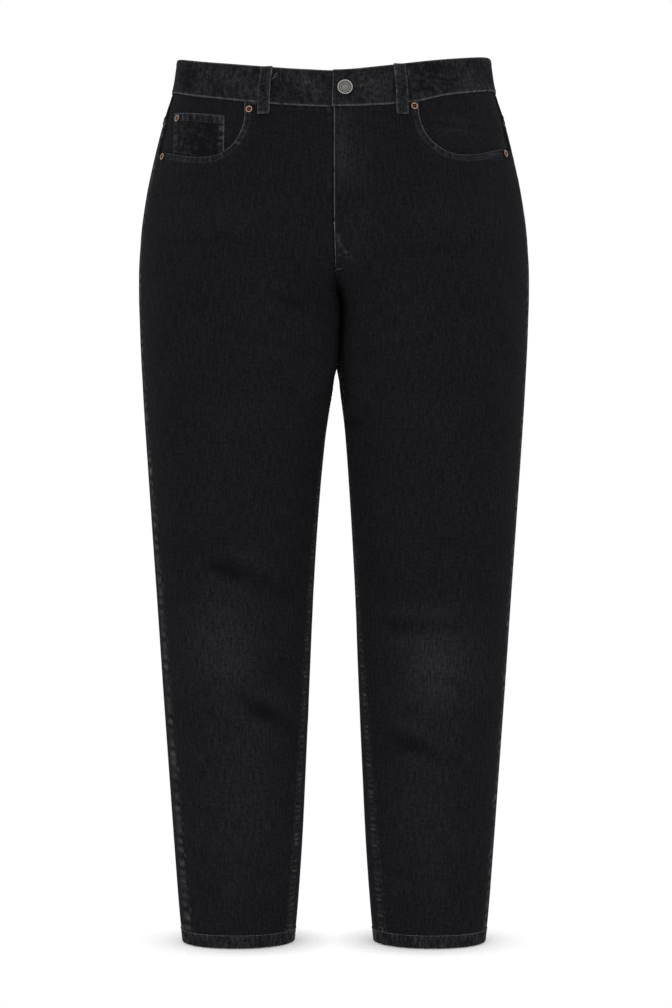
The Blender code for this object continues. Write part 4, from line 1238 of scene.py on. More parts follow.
def back_pocket(side):
    """A patch with a point at the bottom: its sides lean in, and the point is 20 mm low."""
    u, v = np.meshgrid(crowded(126.0, 34), crowded(140.0, 40))
    height = np.full(u.shape, -90.0)
    for _ in range(4):
        edges = []
        for top, bottom in zip(POCKET_TOP, POCKET_BOTTOM):
            edges.append(turn_from_x(side, BACK, top + (bottom - top) * v, height))
        turn = edges[0] + (edges[1] - edges[0]) * u
        point = POCKET_POINT * (1 - np.sqrt((2 * u - 1) ** 2 + 0.0006)) * v
        height = yoke_seam(side, turn) - POCKET_DROP - POCKET_SIDES * v - point
    skin = base(side, turn, height)
    across, down = run(skin, 1), run(skin, 0)
    seed = 80 if side == RIGHT else 90
    relief, rub = layered(
        sewn(down, across, seed, 0.5, 14.0, 0.2, 11.0),
        sewn(down[-1:] - down, across, seed + 1, 0.4, 8.0, 0.25, 9.0),
        sewn(across, down, seed + 2, 0.4, 8.0, 0.25, 9.0),
        sewn(across[:, -1:] - across, down, seed + 3, 0.4, 8.0, 0.25, 9.0))
    rim = np.minimum(np.minimum(down, down[-1:] - down), np.minimum(across, across[:, -1:] - across))
    return piece(f"back_pocket_{SIDES[side]}", side, turn, height, relief, rub, rim, out=POCKET_OUT)


pockets = [back_pocket(side) for side in SIDES]
print("back pockets:", [(p.name, len(p.data.polygons)) for p in pockets])

# %% [markdown]
# ## The waistband
#
# The band is folded cloth: its cross-section is a tall rounded bar, carried all the way round. The
# left end laps over the right one. Small creases come from the button's pull and from bending.

# %% Wrap the waistband
BAND_OUT, BAND_IN = 0.6, -1.8
OVERLAP_EDGE, UNDERLAP_EDGE = -1.5, 38.0
LAP_RAISE, LAP_SINK, LAP_RAMP = 1.3, 1.6, 26.0
BAND_DEPTH, BAND_WORN = 38.0, 0.042
BEND_ROWS, FACE_ROWS, UNDERLAP_COLUMNS = 9, 24, 14
BAND_FOLDS = (
    (FRONT, 118.0, -17.0, 15.0, 2.6, -4.0, 0.8),
    (FRONT, 140.0, -13.0, 9.0, 2.2, 12.0, 0.7),
    (FRONT, 114.0, -27.0, 12.0, 2.6, -38.0, 0.6),
    (FRONT, 32.0, -24.0, 14.0, 3.0, 14.0, 0.5),
    (FRONT, 40.0, -38.0, 13.0, 2.2, -24.0, 0.5),
    (FRONT, 52.0, -20.0, 11.0, 2.0, 38.0, 0.45),
    (FRONT, 92.0, -34.0, 15.0, 2.4, -20.0, 0.5),
    (FRONT, 150.0, -22.0, 12.0, 2.4, 2.0, 0.5),
    (FRONT, -62.0, -20.0, 8.0, 2.0, 40.0, 0.4),
    (FRONT, -84.0, -38.0, 16.0, 2.2, 14.0, 0.4),
    (FRONT, -140.0, -8.0, 6.0, 2.2, 70.0, 0.4),
    (FRONT, -20.0, -18.0, 9.0, 2.2, 60.0, 0.4),
    (FRONT, -40.0, -28.0, 18.0, 3.0, -8.0, 0.5),
    (FRONT, -110.0, -16.0, 16.0, 3.0, 6.0, 0.5),
    (BACK, -100.0, 4.0, 18.0, 3.0, 8.0, 0.6),
    (BACK, 84.0, 8.0, 18.0, 3.0, -8.0, 0.6),
)


def band_profile():
    """A rounded bar: (share of the way down, further millimetres down, millimetres out)."""
    middle, half = (BAND_OUT + BAND_IN) / 2, (BAND_OUT - BAND_IN) / 2
    bend = np.linspace(math.pi / 2, -math.pi / 2, BEND_ROWS)
    face = crowded(37.0, FACE_ROWS - 12, EDGE_STEPS[1:8])[1:-1]
    rows = [(0, half - half * math.cos(a), middle + half * math.sin(a)) for a in -bend]
    rows += [(s, half * (1 - 2 * s), BAND_OUT) for s in face]
    rows += [(1, -half + half * math.cos(a), middle + half * math.sin(a)) for a in bend]
    rows += [(s, half * (1 - 2 * s), BAND_IN) for s in np.linspace(0.9, 0.1, 9)]
    return np.array(rows)


def waistband():
    """The bar along the waist: under the left end, round the back, and over at the front."""
    middle = (SEAM_AT_FRONT + TOP_AT_FRONT) / 2
    under_x = np.linspace(UNDERLAP_EDGE, 3, UNDERLAP_COLUMNS)
    under = turn_from_x(LEFT, FRONT, under_x, np.full(UNDERLAP_COLUMNS, middle))
    over = turn_from_x(RIGHT, FRONT, np.array([0.8, 1.2, -OVERLAP_EDGE]), np.full(3, middle))
    count = 181
    right = turn_at(RIGHT, np.linspace(girth(RIGHT, -1.0, 0.0), girth(RIGHT, 3.0, 0.0), count), 0.0)
    left = turn_at(LEFT, np.linspace(girth(LEFT, 3.0, 0.0), girth(LEFT, -1.0, 0.0), count), 0.0)[1:]
    profile = band_profile()
    share, shift, out = (profile[:, k:k + 1] for k in range(3))
    outers, normals, rubs = [], [], []
    reach = 0.0
    stretches = [(LEFT, under), (RIGHT, right), (LEFT, left), (RIGHT, over)]
    for number, (side, turn) in enumerate(stretches):
        top, low = waist_top(side, turn), waist_seam(side, turn) + SEAM_GAP / 2
        height = top * (1 - share) + low * share - shift
        turns = np.broadcast_to(turn, height.shape)
        skin = base(side, turns, height)
        normal = outward(side, turns, height)
        x = skin[..., 0]
        near_front = turns < 0.8
        sink = LAP_SINK * np.where(near_front, ease(x, -LAP_RAMP, -4), 0)
        settled = ease(x, UNDERLAP_EDGE, UNDERLAP_EDGE + LAP_RAMP)
        rise = LAP_RAISE * np.where(near_front, 1 - settled, 0)
        along = run(skin, 1) + reach
        reach = float(along[0, -1])
        top_relief, top_rub = sewn(share * BAND_DEPTH, along, 101, 0.0, 6.0, 0.14, 8.5, 0.0)
        low_relief, low_rub = sewn((1 - share) * BAND_DEPTH, along, 102, 0.15, 8.0, 0.18, 10.0, 0.0)
        on_face = out > 0
        creases = folding(skin, BAND_FOLDS)
        lap = -sink if number < 2 else rise
        relief = np.where(on_face, top_relief + low_relief + creases, 0) + lap
        outers.append(skin + (relief + out)[..., None] * normal)
        normals.append(normal)
        on_crests = 0.25 * np.maximum(top_rub, low_rub) + 0.3 * np.clip(creases, 0, 1)
        rubs.append(BAND_WORN + np.where(on_face, on_crests, 0))
    return *(np.concatenate(grids, axis=1) for grids in (outers, normals, rubs)), share


def make_waistband():
    """A closed tube whose rows go round the bar, with its two ends capped."""
    points, normal, rub, share = waistband()
    along = run(points, 1)
    even = along * (along[:, -1:].mean() / along[:, -1:])
    uv = np.stack([even, np.broadcast_to(-BAND_DEPTH * share, along.shape)], axis=-1)
    from_end = np.minimum(along, along[:, -1:] - along)
    rim = np.minimum(np.minimum(share * BAND_DEPTH + 0.5, (1 - share) * 2.5 * BAND_DEPTH), from_end)
    marks = {"worn": fading_and_painted_shade(points) + 0.5 * rub, "rim": rim}
    grid = numbered(*along.shape)
    ends = [grid[:, 0].tolist(), grid[::-1, -1].tolist()]
    faces = turned_out(points, quads(wrapped(grid, 0)).tolist() + ends)
    KEPT["waistband"] = {"outer": points, "normal": normal, "share": share}
    return replace_node("waistband", make_mesh("waistband", points, faces, uv, marks), BAND)


band = make_waistband()
print("waistband:", len(band.data.polygons), "faces")

# %% [markdown]
# ## Fly shield, hems and belt loops
#
# The shield hangs behind the fly. A hem is the end of the leg turned up twice, a thick soft ring
# with leaning puckers. A belt loop is a folded strip, sewn flat at both ends.

# %% Make the fly shield and the hems
FLY_END = -176.0
SHIELD_EDGES = (-14.0, 36.0)
SHIELD_OUT = -2.0
HEM_OUT, HEM_IN = 0.25, -2.4
HEM_DEPTH, HEM_WORN = HEM_TOP - HEM_BOTTOM, 0.015


def fly_shield():
    """A strip behind the fly, from the waist seam to below the end of the zip."""
    parts = []
    for side, edges in ((RIGHT, (-SHIELD_EDGES[0], 1.0)), (LEFT, (1.0, SHIELD_EDGES[1]))):
        x = np.linspace(*edges, 12)
        start = waist_seam(side, turn_from_x(side, FRONT, x, np.full(12, SEAM_AT_FRONT))) - SEAM_GAP
        height = start + (FLY_END - start) * np.linspace(0, 1, 40)[:, None]
        turn = turn_from_x(side, FRONT, np.broadcast_to(x, height.shape), height)
        parts.append((side, turn, height))
    grids = [np.concatenate([cloth(*part, out) for part in parts], axis=1)
             for out in (SHIELD_OUT, SHIELD_OUT - CLOTH)]
    across = run(grids[0], 1)
    height = np.concatenate([part[2] for part in parts], axis=1)
    rim = np.minimum(across, across[:, -1:] - across)
    uv = np.stack([across, height], axis=-1)
    return make_wall("fly_shield", *grids, uv, {"worn": 0.05, "rim": rim}, POCKET)


def hem(side):
    """A rounded bar carried round the leg: the face, the turned-up bottom edge and the inside."""
    count = 300
    turn = np.linspace(-1, 3, count, endpoint=False)
    middle, half = (HEM_OUT + HEM_IN) / 2, (HEM_OUT - HEM_IN) / 2
    around = np.linspace(math.pi / 2, -math.pi / 2, 9)
    face = [(drop, HEM_OUT) for drop in (SEAM_GAP / 2, 0.6, 1.4, 2.6, 4.4, 6.4, 8.4, 10.2, 11.8)]
    bend = [(HEM_DEPTH - half + half * math.cos(a), middle + half * math.sin(a)) for a in around]
    inside = [(drop, HEM_IN) for drop in (11.0, 8.0, 5.0, 2.0, SEAM_GAP / 2)]
    drop, out = (np.array([row[k] for row in face + bend + inside])[:, None] for k in (0, 1))
    height = np.broadcast_to(HEM_TOP - drop, (len(drop), count))
    turns = np.broadcast_to(turn, height.shape)
    skin = base(side, turns, height)
    normal = outward(side, turns, height)
    along = run(skin, 1)
    seed = 110 if side == RIGHT else 120
    relief, rub = sewn(drop, along, seed, 0.0, 7.0, 0.3, 5.6, 0.0, 0.25, 0.25)
    low, low_rub = sewn(HEM_DEPTH - drop, along, seed + 1, 0.0, 8.0, 0.16, 4.2, 0.0, 0.1, 0.25)
    face_share = np.where(out > HEM_IN + 0.3, 1.0, 0.0)
    points = skin + (out + (relief + low) * face_share)[..., None] * normal
    on_crests = np.maximum(rub, low_rub) * face_share
    name = f"hem_{SIDES[side]}"
    rim = np.abs(HEM_DEPTH - drop) + np.zeros(along.shape)
    corner = np.exp(-((np.abs(np.sin(turns * math.pi / 2)) - 1) / 0.05) ** 2)
    pale_corner = 0.13 * corner * (1 - drop / HEM_DEPTH)
    worn = fading_and_painted_shade(skin) + HEM_WORN + on_crests * (0.22 + 0.3 * corner) + pale_corner
    uv = np.stack([along, height], axis=-1)
    faces = quads(wrapped(wrapped(numbered(*along.shape), 0), 1)).tolist()
    mesh = make_mesh(name, points, turned_out(points, faces), uv, {"worn": worn, "rim": rim})
    KEPT[name] = {"outer": points, "normal": normal}
    return replace_node(name, mesh, BAND)


print("fly shield:", len(fly_shield().data.polygons), "faces")
hems = [hem(side) for side in SIDES]
print("hems:", [(p.name, len(p.data.polygons)) for p in hems])

# %% Fold the belt loops
LOOP_WIDTH, LOOP_THICK, LOOP_STAND = 12.6, 2.2, 3.0
LOOP_BELOW_SEAM, LOOP_BELOW_TOP = 12.8, 0.5
LOOP_REST = 0.6
LOOPS = {
    "belt_loop_front_right": (RIGHT, FRONT, 71.7, 75.4),
    "belt_loop_front_left": (LEFT, FRONT, 69.9, 73.3),
    "belt_loop_side_right": (RIGHT, BACK, 118.0, 120.0),
    "belt_loop_side_left": (LEFT, BACK, 118.0, 120.0),
    "belt_loop_back": (LEFT, BACK, 0.0, 0.0),
}


def belt_loop(name, side, face, top_x, low_x):
    """A strip over the band: flat on the cloth at both ends, standing off the band between them."""
    middle = np.array([(top_x + low_x) / 2])
    near = np.array([SEAM_AT_SIDE])
    if face == FRONT:
        turn = turn_from_x(side, FRONT, middle, near)
    else:
        turn = turn_at(side, girth(side, 3.0, near) - middle, near)
    top = waist_top(side, turn)[0] - LOOP_BELOW_TOP
    low = waist_seam(side, turn)[0]
    length = low - LOOP_BELOW_SEAM - top
    seam = (low - top) / length
    down = crowded(-length, 30, EDGE_STEPS[:6])
    marks_down = np.array([0.0, 0.1, 0.2, 0.35, 0.55, seam - 0.1, seam, seam + 0.08, 1.0])
    stands = np.array([0.0, 0.0, 0.3, 1.0, 1.0, 0.7, 0.5, 0.1, 0.0])
    rest = BAND_OUT * (1 - ease(down, seam - 0.02, seam + 0.1)) + LOOP_REST
    out = rest + LOOP_STAND * np.interp(down, marks_down, stands)
    across = (crowded(LOOP_WIDTH, 6, EDGE_STEPS[:5]) - 0.5) * LOOP_WIDTH
    x = top_x + (low_x - top_x) * down[:, None] + across
    height = np.repeat((top + length * down)[:, None], len(across), axis=1)
    out = np.repeat(out[:, None], len(across), axis=1)
    if face == FRONT:
        turn = turn_from_x(side, FRONT, x, height)
    else:
        turn = turn_at(side, girth(side, 3.0, height) - np.abs(x), height)
    from_side = LOOP_WIDTH / 2 - np.abs(across) + np.zeros(height.shape)
    from_top = down[:, None] * -length + np.zeros(height.shape)
    from_end = np.minimum(from_top, -length - from_top)
    seed = sum(map(ord, name))
    relief, rub = layered(
        sewn(from_side, from_top, seed, 0.0, 3.0, 0.14, 6.0, 0.7),
        sewn(from_end, across + 0 * from_end, seed + 1, 0.0, 3.0, 0.1, 4.0, 0.5))
    normal = outward(side, turn, height)
    skin = cloth(side, turn, height)
    outer = skin + (out + LOOP_THICK + relief)[..., None] * normal
    inner = skin + (out + 0.5 * np.clip(-relief, 0, 1))[..., None] * normal
    if top_x == 0:
        outer[..., 0] = inner[..., 0] = x
    rim = np.minimum(from_side, from_end)
    marks = {"worn": 0.02 + 0.3 * rub, "rim": rim}
    KEPT[name] = {"outer": outer, "normal": normal}
    return make_wall(name, outer, inner, np.stack([x, height], axis=-1), marks, BAND)


loops = [belt_loop(name, *place) for name, place in LOOPS.items()]
print("belt loops:", [(p.name, len(p.data.polygons)) for p in loops])

# %% [markdown]
# ## Button and rivets
#
# Both are spun metal, so each is a profile turned about its axis. The attribute `high_place` is the
# height of the profile, so that the low places stay dark, as aged metal is.

# %% Turn the button and the rivets
BUTTON_PLACE = (11.9, -32.6)
BUTTON_PROFILE = (
    (0.0, 4.75), (2.2, 4.75), (3.3, 4.72), (3.7, 4.5), (4.1, 4.5), (4.5, 4.72), (5.4, 4.74), (6.1, 4.5),
    (6.5, 4.4), (6.8, 4.7), (7.1, 5.2), (7.5, 5.38), (7.9, 5.2), (8.2, 4.6), (8.0, 3.6), (6.5, 3.0),
    (3.4, 2.7), (3.1, 2.4), (3.1, 1.0), (3.6, 0.1), (0.0, 0.0),
)
RIVET_PROFILE = (
    (0.0, 1.1), (0.5, 1.05), (0.8, 0.75), (1.1, 0.5), (1.9, 0.5), (2.3, 0.8), (2.6, 1.25), (3.0, 1.45),
    (3.4, 1.35), (3.7, 0.95), (3.9, 0.5), (4.2, 0.35), (4.3, 0.0), (0.0, 0.0),
)
BUTTON_BRIGHT = (4.45, 5.25)
RIVET_BRIGHT = (0.55 * 1.45, 0.95 * 1.45)
RIVET_REST = 0.5
LAP_OUT = BAND_OUT + LAP_RAISE
RIVETS = {
    "rivet_mouth_right": (RIGHT, 90.6, -53.4),
    "rivet_seam_right": (RIGHT, 187.2, -95.8),
    "rivet_mouth_left": (LEFT, 86.0, -50.0),
    "rivet_seam_left": (LEFT, 187.4, -92.0),
    "rivet_coin": (RIGHT, 170.6, -55.0),
}


def turned(name, profile, count, metal, bright, side, x, height, out):
    """A profile of (radius, height) turned about the cloth's normal. Its poles are single points.

    `bright` holds the heights of the profile where the metal begins to brighten, and is brightest.
    """
    radius, up = np.array(profile).T
    angle = np.linspace(0, 2 * math.pi, count, endpoint=False)
    rings = np.stack([radius[1:-1, None] * np.cos(angle), radius[1:-1, None] * np.sin(angle),
                      np.broadcast_to(up[1:-1, None], (len(up) - 2, count))], axis=-1)
    points = np.concatenate([[[0, 0, up[0]]], rings.reshape(-1, 3), [[0, 0, up[-1]]]])
    grid = wrapped(numbered(len(rings), count, 1))
    faces = quads(grid).tolist() + fan(0, grid[0]) + fan(len(points) - 1, grid[-1, ::-1])
    height = np.array(float(height))
    turn = turn_from_x(side, FRONT, np.array(float(x)), height)
    normal = outward(side, turn, height)
    tangent = unit(np.cross([0.0, 0.0, 1.0], normal))
    axes = np.stack([tangent, np.cross(normal, tangent), normal])
    placed = points @ axes + cloth(side, turn, height, np.array(out))
    high = np.clip((points[:, 2] - bright[0]) / (bright[1] - bright[0]), 0, 1)
    mesh = make_mesh(name, placed, faces, marks={"high_place": high})
    mesh.validate()
    return replace_node(name, mesh, metal)


for name, place in RIVETS.items():
    turned(name, RIVET_PROFILE, 40, COPPER, RIVET_BRIGHT, *place, RIVET_REST)
button = turned("button", BUTTON_PROFILE, 64, PEWTER, BUTTON_BRIGHT, LEFT, *BUTTON_PLACE,
                LAP_OUT + 0.3)
print("button:", len(button.data.polygons), "faces")

# %% [markdown]
# ## Stitches
#
# A row of stitches is one small bar of thread, repeated along a path on the finished surface. Each
# bar is bowed, so that both ends dive into the cloth. A path comes from a panel's own points: the
# places in each row, or column, that are a given distance from its edge.

# %% Sew with thread
STITCH_PITCH, STITCH_LENGTH, STITCH_RADIUS = 3.1, 2.5, 0.3
STITCH_RINGS, STITCH_SIDES = 5, 6


def stitch_shape():
    """A bar with six sides and five rings: (along, across, up), thin and low at both ends."""
    t = np.linspace(0, 1, STITCH_RINGS)[:, None]
    angle = np.linspace(0, 2 * math.pi, STITCH_SIDES, endpoint=False)
    thick = STITCH_RADIUS * np.sqrt(np.clip(1 - (2 * t - 1) ** 2 * 0.86, 0, 1))
    bow = 0.34 * (1 - (2 * t - 1) ** 2) - 0.16
    along = (t - 0.5) * STITCH_LENGTH + np.zeros_like(angle)
    shape = [along, thick * np.cos(angle), bow + thick * np.sin(angle) * 0.8]
    return np.stack(shape, axis=-1).reshape(-1, 3)


def at_lengths(at, length, values):
    """The points or normals of a path at some lengths along it."""
    return np.stack([np.interp(at, length, values[:, k]) for k in range(3)], axis=1)


def evenly(points, normal, pitch):
    """Places at equal steps along a path, with their directions and normals."""
    steps = np.linalg.norm(np.diff(points, axis=0), axis=1)
    length = np.concatenate([[0], np.cumsum(steps)])
    count = int(length[-1] // pitch)
    at = (np.arange(count) + 0.5) * length[-1] / max(count, 1)
    along = at_lengths(at + 0.8, length, points) - at_lengths(at - 0.8, length, points)
    return at_lengths(at, length, points), along, at_lengths(at, length, normal)


def sew(name, paths, material=THREAD, pitch=STITCH_PITCH, scale=1.0):
    """All the stitches of some paths as one mesh."""
    found = [evenly(points, normal, pitch) for points, normal in paths if len(points) > 1]
    places, along, normals = (np.concatenate([item[k] for item in found]) for k in range(3))
    along = unit(along)
    normals = unit(normals - (normals * along).sum(axis=1, keepdims=True) * along)
    across = np.cross(normals, along)
    shape = stitch_shape() * scale
    points = (places[:, None] + shape[:, :1] * along[:, None] + shape[:, 1:2] * across[:, None]
              + shape[:, 2:] * normals[:, None])
    grid = numbered(STITCH_RINGS, STITCH_SIDES)
    first = (np.arange(len(places)) * grid.size)[:, None, None]
    faces = (first + quads(wrapped(grid))).reshape(-1, 4).tolist()
    faces += (first + np.array([grid[0, ::-1], grid[-1]])).reshape(-1, STITCH_SIDES).tolist()
    trim(name, points, faces, material)
    return len(places)


def offset_path(kept, away, distance, rows=slice(None)):
    """The path at a distance from an edge: in each row, the place where `away` reaches it."""
    away = np.broadcast_to(away, kept["outer"].shape[:2])[rows]
    points, normal = kept["outer"][rows], kept["normal"][rows]
    j = np.clip((away < distance).sum(axis=1), 1, away.shape[1] - 1)
    i = np.arange(len(away))
    t = ((distance - away[i, j - 1]) / np.maximum(away[i, j] - away[i, j - 1], 1e-9))[:, None]
    t = np.clip(t, 0, 1)
    return points[i, j - 1] * (1 - t) + points[i, j] * t, normal[i, j - 1] * (1 - t) + normal[i, j] * t


def turned_grid(kept, flip=False, upright=False):
    """The same surface with its rows and columns exchanged, or its columns in reverse."""
    outer, normal = kept["outer"], kept["normal"]
    if upright:
        outer, normal = outer.transpose(1, 0, 2), normal.transpose(1, 0, 2)
    if flip:
        outer, normal = outer[:, ::-1], normal[:, ::-1]
    return {"outer": outer, "normal": normal}


def beside(kept, distances, rows, flip=False, upright=False):
    """Paths at some distances from the first column, or from another edge of a turned grid."""
    grid = turned_grid(kept, flip, upright)
    away = run(grid["outer"], 1)
    return [offset_path(grid, away, distance, rows) for distance in distances]


print("a stitch has", len(stitch_shape()), "points")

# %% Sew the fronts
FLY_LINE_HEIGHTS = (-224.0, -219.0, -211.0, -200.0, -186.0, -168.0, -140.0, -90.0, -40.0)
FLY_LINE_X = (5.0, 11.5, 20.0, 27.5, 33.4, 37.4, 40.0, 39.6, 38.6)


def fly_line(height, inset_by):
    """The curved row that holds the fly: straight down, and round to the bar tack at its end."""
    return np.interp(height, FLY_LINE_HEIGHTS, FLY_LINE_X) - inset_by


def rows_above(kept, height, column=-1):
    """How many rows of a panel are above a height, at its last column or another."""
    return int((kept["outer"][:, column, 2] > height).sum())


def sew_front(side):
    """Two rows round the pocket mouth, and one down the inseam."""
    name = SIDES[side]
    kept = KEPT[f"front_{name}"]
    beside_mouth = len(UPPER_ROWS)
    near = slice(0, beside_mouth + 13)
    upper = {key: grid[near] for key, grid in kept.items()}
    from_mouth = nearest(upper["outer"], kept["outer"][:beside_mouth, 0])[0]
    paths = [offset_path(upper, from_mouth, away, slice(1, beside_mouth - 1)) for away in (1.7, 6.6)]
    count = sew(f"mouth_stitches_{name}", paths)
    legs = slice(rows_above(kept, FORK - 14), None)
    inseam_row = beside(kept, (2.2,), legs, flip=True)
    return count + sew(f"inseam_stitches_{name}", inseam_row, DARK_THREAD)


def sew_fly():
    """Two rows along the fly on the left front, one beside its edge, and two below it to the fork."""
    kept = KEPT["front_left"]
    mirrored = turned_grid(kept, flip=True)
    x, height = mirrored["outer"][..., 0], mirrored["outer"][..., 2]
    rows = slice(2, rows_above(kept, FLY_LINE_HEIGHTS[0] + 1.0))
    paths = [offset_path(mirrored, x - fly_line(height, inset_by), 0.0, rows) for inset_by in (0.0, 6.0)]
    paths += beside(kept, (2.0,), rows, flip=True)
    rise = slice(rows_above(kept, -226.0), rows_above(kept, FORK + 1))
    paths += beside(kept, (1.8, 6.0), rise, flip=True)
    return sew("fly_stitches", paths, DARK_THREAD)


print("front stitches:", [sew_front(side) for side in SIDES], sew_fly())

# %% Sew the back, the yokes and the pockets
def sew_back(side):
    """Rows down the hip and the centre back, and two round the yoke's lower edge and the pocket."""
    name = SIDES[side]
    panel, flap, patch = (KEPT[f"{kind}_{name}"] for kind in ("back", "yoke", "back_pocket"))
    inner = slice(2, -2)
    seat_rows = beside(panel, (1.8,), slice(1, rows_above(panel, -190.0, 0)))
    yoke_rows = beside(flap, (1.8, 7.6), inner, flip=True, upright=True) + beside(flap, (1.8,), inner)
    if side == LEFT:
        seat_rows += beside(panel, (1.8, 7.4), slice(1, rows_above(panel, FORK + 2)), flip=True)
        yoke_rows += beside(flap, (1.8, 7.4), inner, flip=True)
    pocket_rows = []
    for flip, upright in ((False, False), (True, False), (False, True), (True, True)):
        depths = (2.0, 9.0) if upright and not flip else (1.8, 6.8)
        pocket_rows += beside(patch, depths, slice(3, -3), flip, upright)
    count = sew(f"seat_stitches_{name}", seat_rows)
    count += sew(f"yoke_stitches_{name}", yoke_rows)
    return count + sew(f"pocket_stitches_{name}", pocket_rows)


def sew_coin():
    """Two rows down each side, and two across the top."""
    kept, rows = KEPT["coin_pocket"], slice(2, -1)
    paths = beside(kept, (1.6, 6.2), rows) + beside(kept, (1.6, 6.2), rows, flip=True)
    return sew("coin_stitches", paths + beside(kept, (2.0, 9.4), rows, upright=True))


print("back stitches:", [sew_back(side) for side in SIDES], "coin pocket:", sew_coin())

# %% Sew the band, the loops and the hems
def sew_band():
    """A row 2 mm from the top edge and one 2 mm from the seam, on the outer face."""
    kept = KEPT["waistband"]
    share = kept["share"][BEND_ROWS:BEND_ROWS + FACE_ROWS, 0]
    shown = slice(UNDERLAP_COLUMNS + 2, None)
    paths = []
    for at in (2.2 / BAND_DEPTH, 1 - 2.2 / BAND_DEPTH):
        row = BEND_ROWS + int(np.abs(share - at).argmin())
        paths.append((kept["outer"][row, shown], kept["normal"][row, shown]))
    return sew("band_stitches", paths, DARK_THREAD)


def sew_loop(name):
    """Two rows down the strip, and a bar tack across each end."""
    kept = KEPT[name]
    across = run(kept["outer"], 1)
    paths = [offset_path(turned_grid(kept, flip), across, 2.4, slice(3, -3)) for flip in (False, True)]
    count = sew(f"{name}_stitches", paths, THREAD, 2.6, 0.85)
    bars = [path for flip in (False, True)
            for path in beside(kept, (1.2, 1.8, 2.4), slice(2, -2), flip, upright=True)]
    return count + sew(f"{name}_tacks", bars, THREAD, 1.5, 0.7)


def sew_hem(side):
    """One row just below the hem's top edge, all round."""
    name = SIDES[side]
    kept = KEPT[f"hem_{name}"]
    path = (wrapped(kept["outer"][1], 0), wrapped(kept["normal"][1], 0))
    return sew(f"hem_stitches_{name}", [path], PALE_THREAD)


print("band:", sew_band(), "loops:", [sew_loop(name) for name in LOOPS],
      "hems:", [sew_hem(side) for side in SIDES])

# %% [markdown]
# ## Bar tacks, the buttonhole and loose ends
#
# A bar tack is a close zigzag that locks the end of a seam. The buttonhole shows beside the button
# as a slit with a ring of close stitches; the slit is a dark tube, painted shade for the gap in the
# cloth, and the band is painted darker along it. Two threads were left long at the front loops.

# %% Sew the small close stitches
def on_surface(side, x, height, out):
    """Points and normals on the cloth at distances from the middle and heights."""
    x, height = np.asarray(x, float), np.asarray(height, float)
    turn = turn_from_x(side, FRONT, x, height)
    return cloth(side, turn, height, out), outward(side, turn, height)


def zigzag(side, start, end, width, out, pitch=0.55):
    """A close zigzag between two (x, height) places."""
    start, end = np.array(start), np.array(end)
    length = np.linalg.norm(end - start)
    count = int(length / pitch)
    across = np.array([-(end - start)[1], (end - start)[0]]) / length
    t = np.linspace(0, 1, count)[:, None]
    swing = np.where(np.arange(count) % 2 == 0, 0.5, -0.5)[:, None] * width
    places = start + (end - start) * t + across * swing
    return on_surface(side, places[:, 0], places[:, 1], out)


def tubes(name, paths, radius, material):
    """Thin threads: a ring of five points carried along each path."""
    points, faces, first = [], [], 0
    angle = np.linspace(0, 2 * math.pi, 5, endpoint=False)
    for path, normal in paths:
        along = unit(np.gradient(path, axis=0))
        across = unit(np.cross(normal, along))
        up = np.cross(along, across)
        ring = (path[:, None] + radius * np.cos(angle)[None, :, None] * across[:, None]
                + radius * np.sin(angle)[None, :, None] * up[:, None])
        grid = numbered(len(path), 5, first)
        faces += quads(wrapped(grid)).tolist() + [grid[0, ::-1].tolist(), grid[-1].tolist()]
        points.append(ring.reshape(-1, 3))
        first += grid.size
    trim(name, np.concatenate(points), faces, material)
    return len(faces)


HOLE_X, HOLE_HEIGHT = (19.6, 28.6), (-32.6, -30.2)
HOLE_HALF, HOLE_END_HALF = 1.3, 2.2
TAILS = {
    RIGHT: ((60.6, 62.4, 65.2, 66.6, 63.6, 60.2), (-14.2, -15.5, -19.5, -21.5, -20.0, -17.0)),
    LEFT: ((79.0, 79.6, 79.8, 79.0, 77.6, 76.4), (-9.0, -12.0, -14.5, -17.0, -18.2, -17.6)),
}
end_x = HOLE_X[1] + 0.4
hole_lines = [tuple(zip(HOLE_X, (height + shift for height in HOLE_HEIGHT)))
              for shift in (HOLE_HALF, -HOLE_HALF)]
hole_lines.append(((end_x, HOLE_HEIGHT[1] + HOLE_END_HALF), (end_x, HOLE_HEIGHT[1] - HOLE_END_HALF)))
hole = [zigzag(LEFT, start, end, 1.8, LAP_OUT + 0.3, 0.42) for start, end in hole_lines]
tacks = [zigzag(LEFT, (1.6, -224.4), (9.0, -223.0), 2.0, 1.3, 0.5)]
print("buttonhole:", tubes("buttonhole_stitches", hole, 0.2, PALE_THREAD),
      "tacks:", tubes("bar_tacks", tacks, 0.26, PALE_THREAD))
# The slit: a dark tube along the buttonhole, painted shade for the gap in the cloth.
slit_shade = [on_surface(LEFT, np.linspace(*HOLE_X, 12), np.linspace(*HOLE_HEIGHT, 12), LAP_OUT + 0.4)]
print("slit:", tubes("buttonhole_slit", slit_shade, 0.7, DARK_THREAD))
tails = [on_surface(side, *TAILS[side], BAND_OUT + 0.5) for side in SIDES]
print("loose ends:", tubes("loose_threads", tails, 0.26, PALE_THREAD))
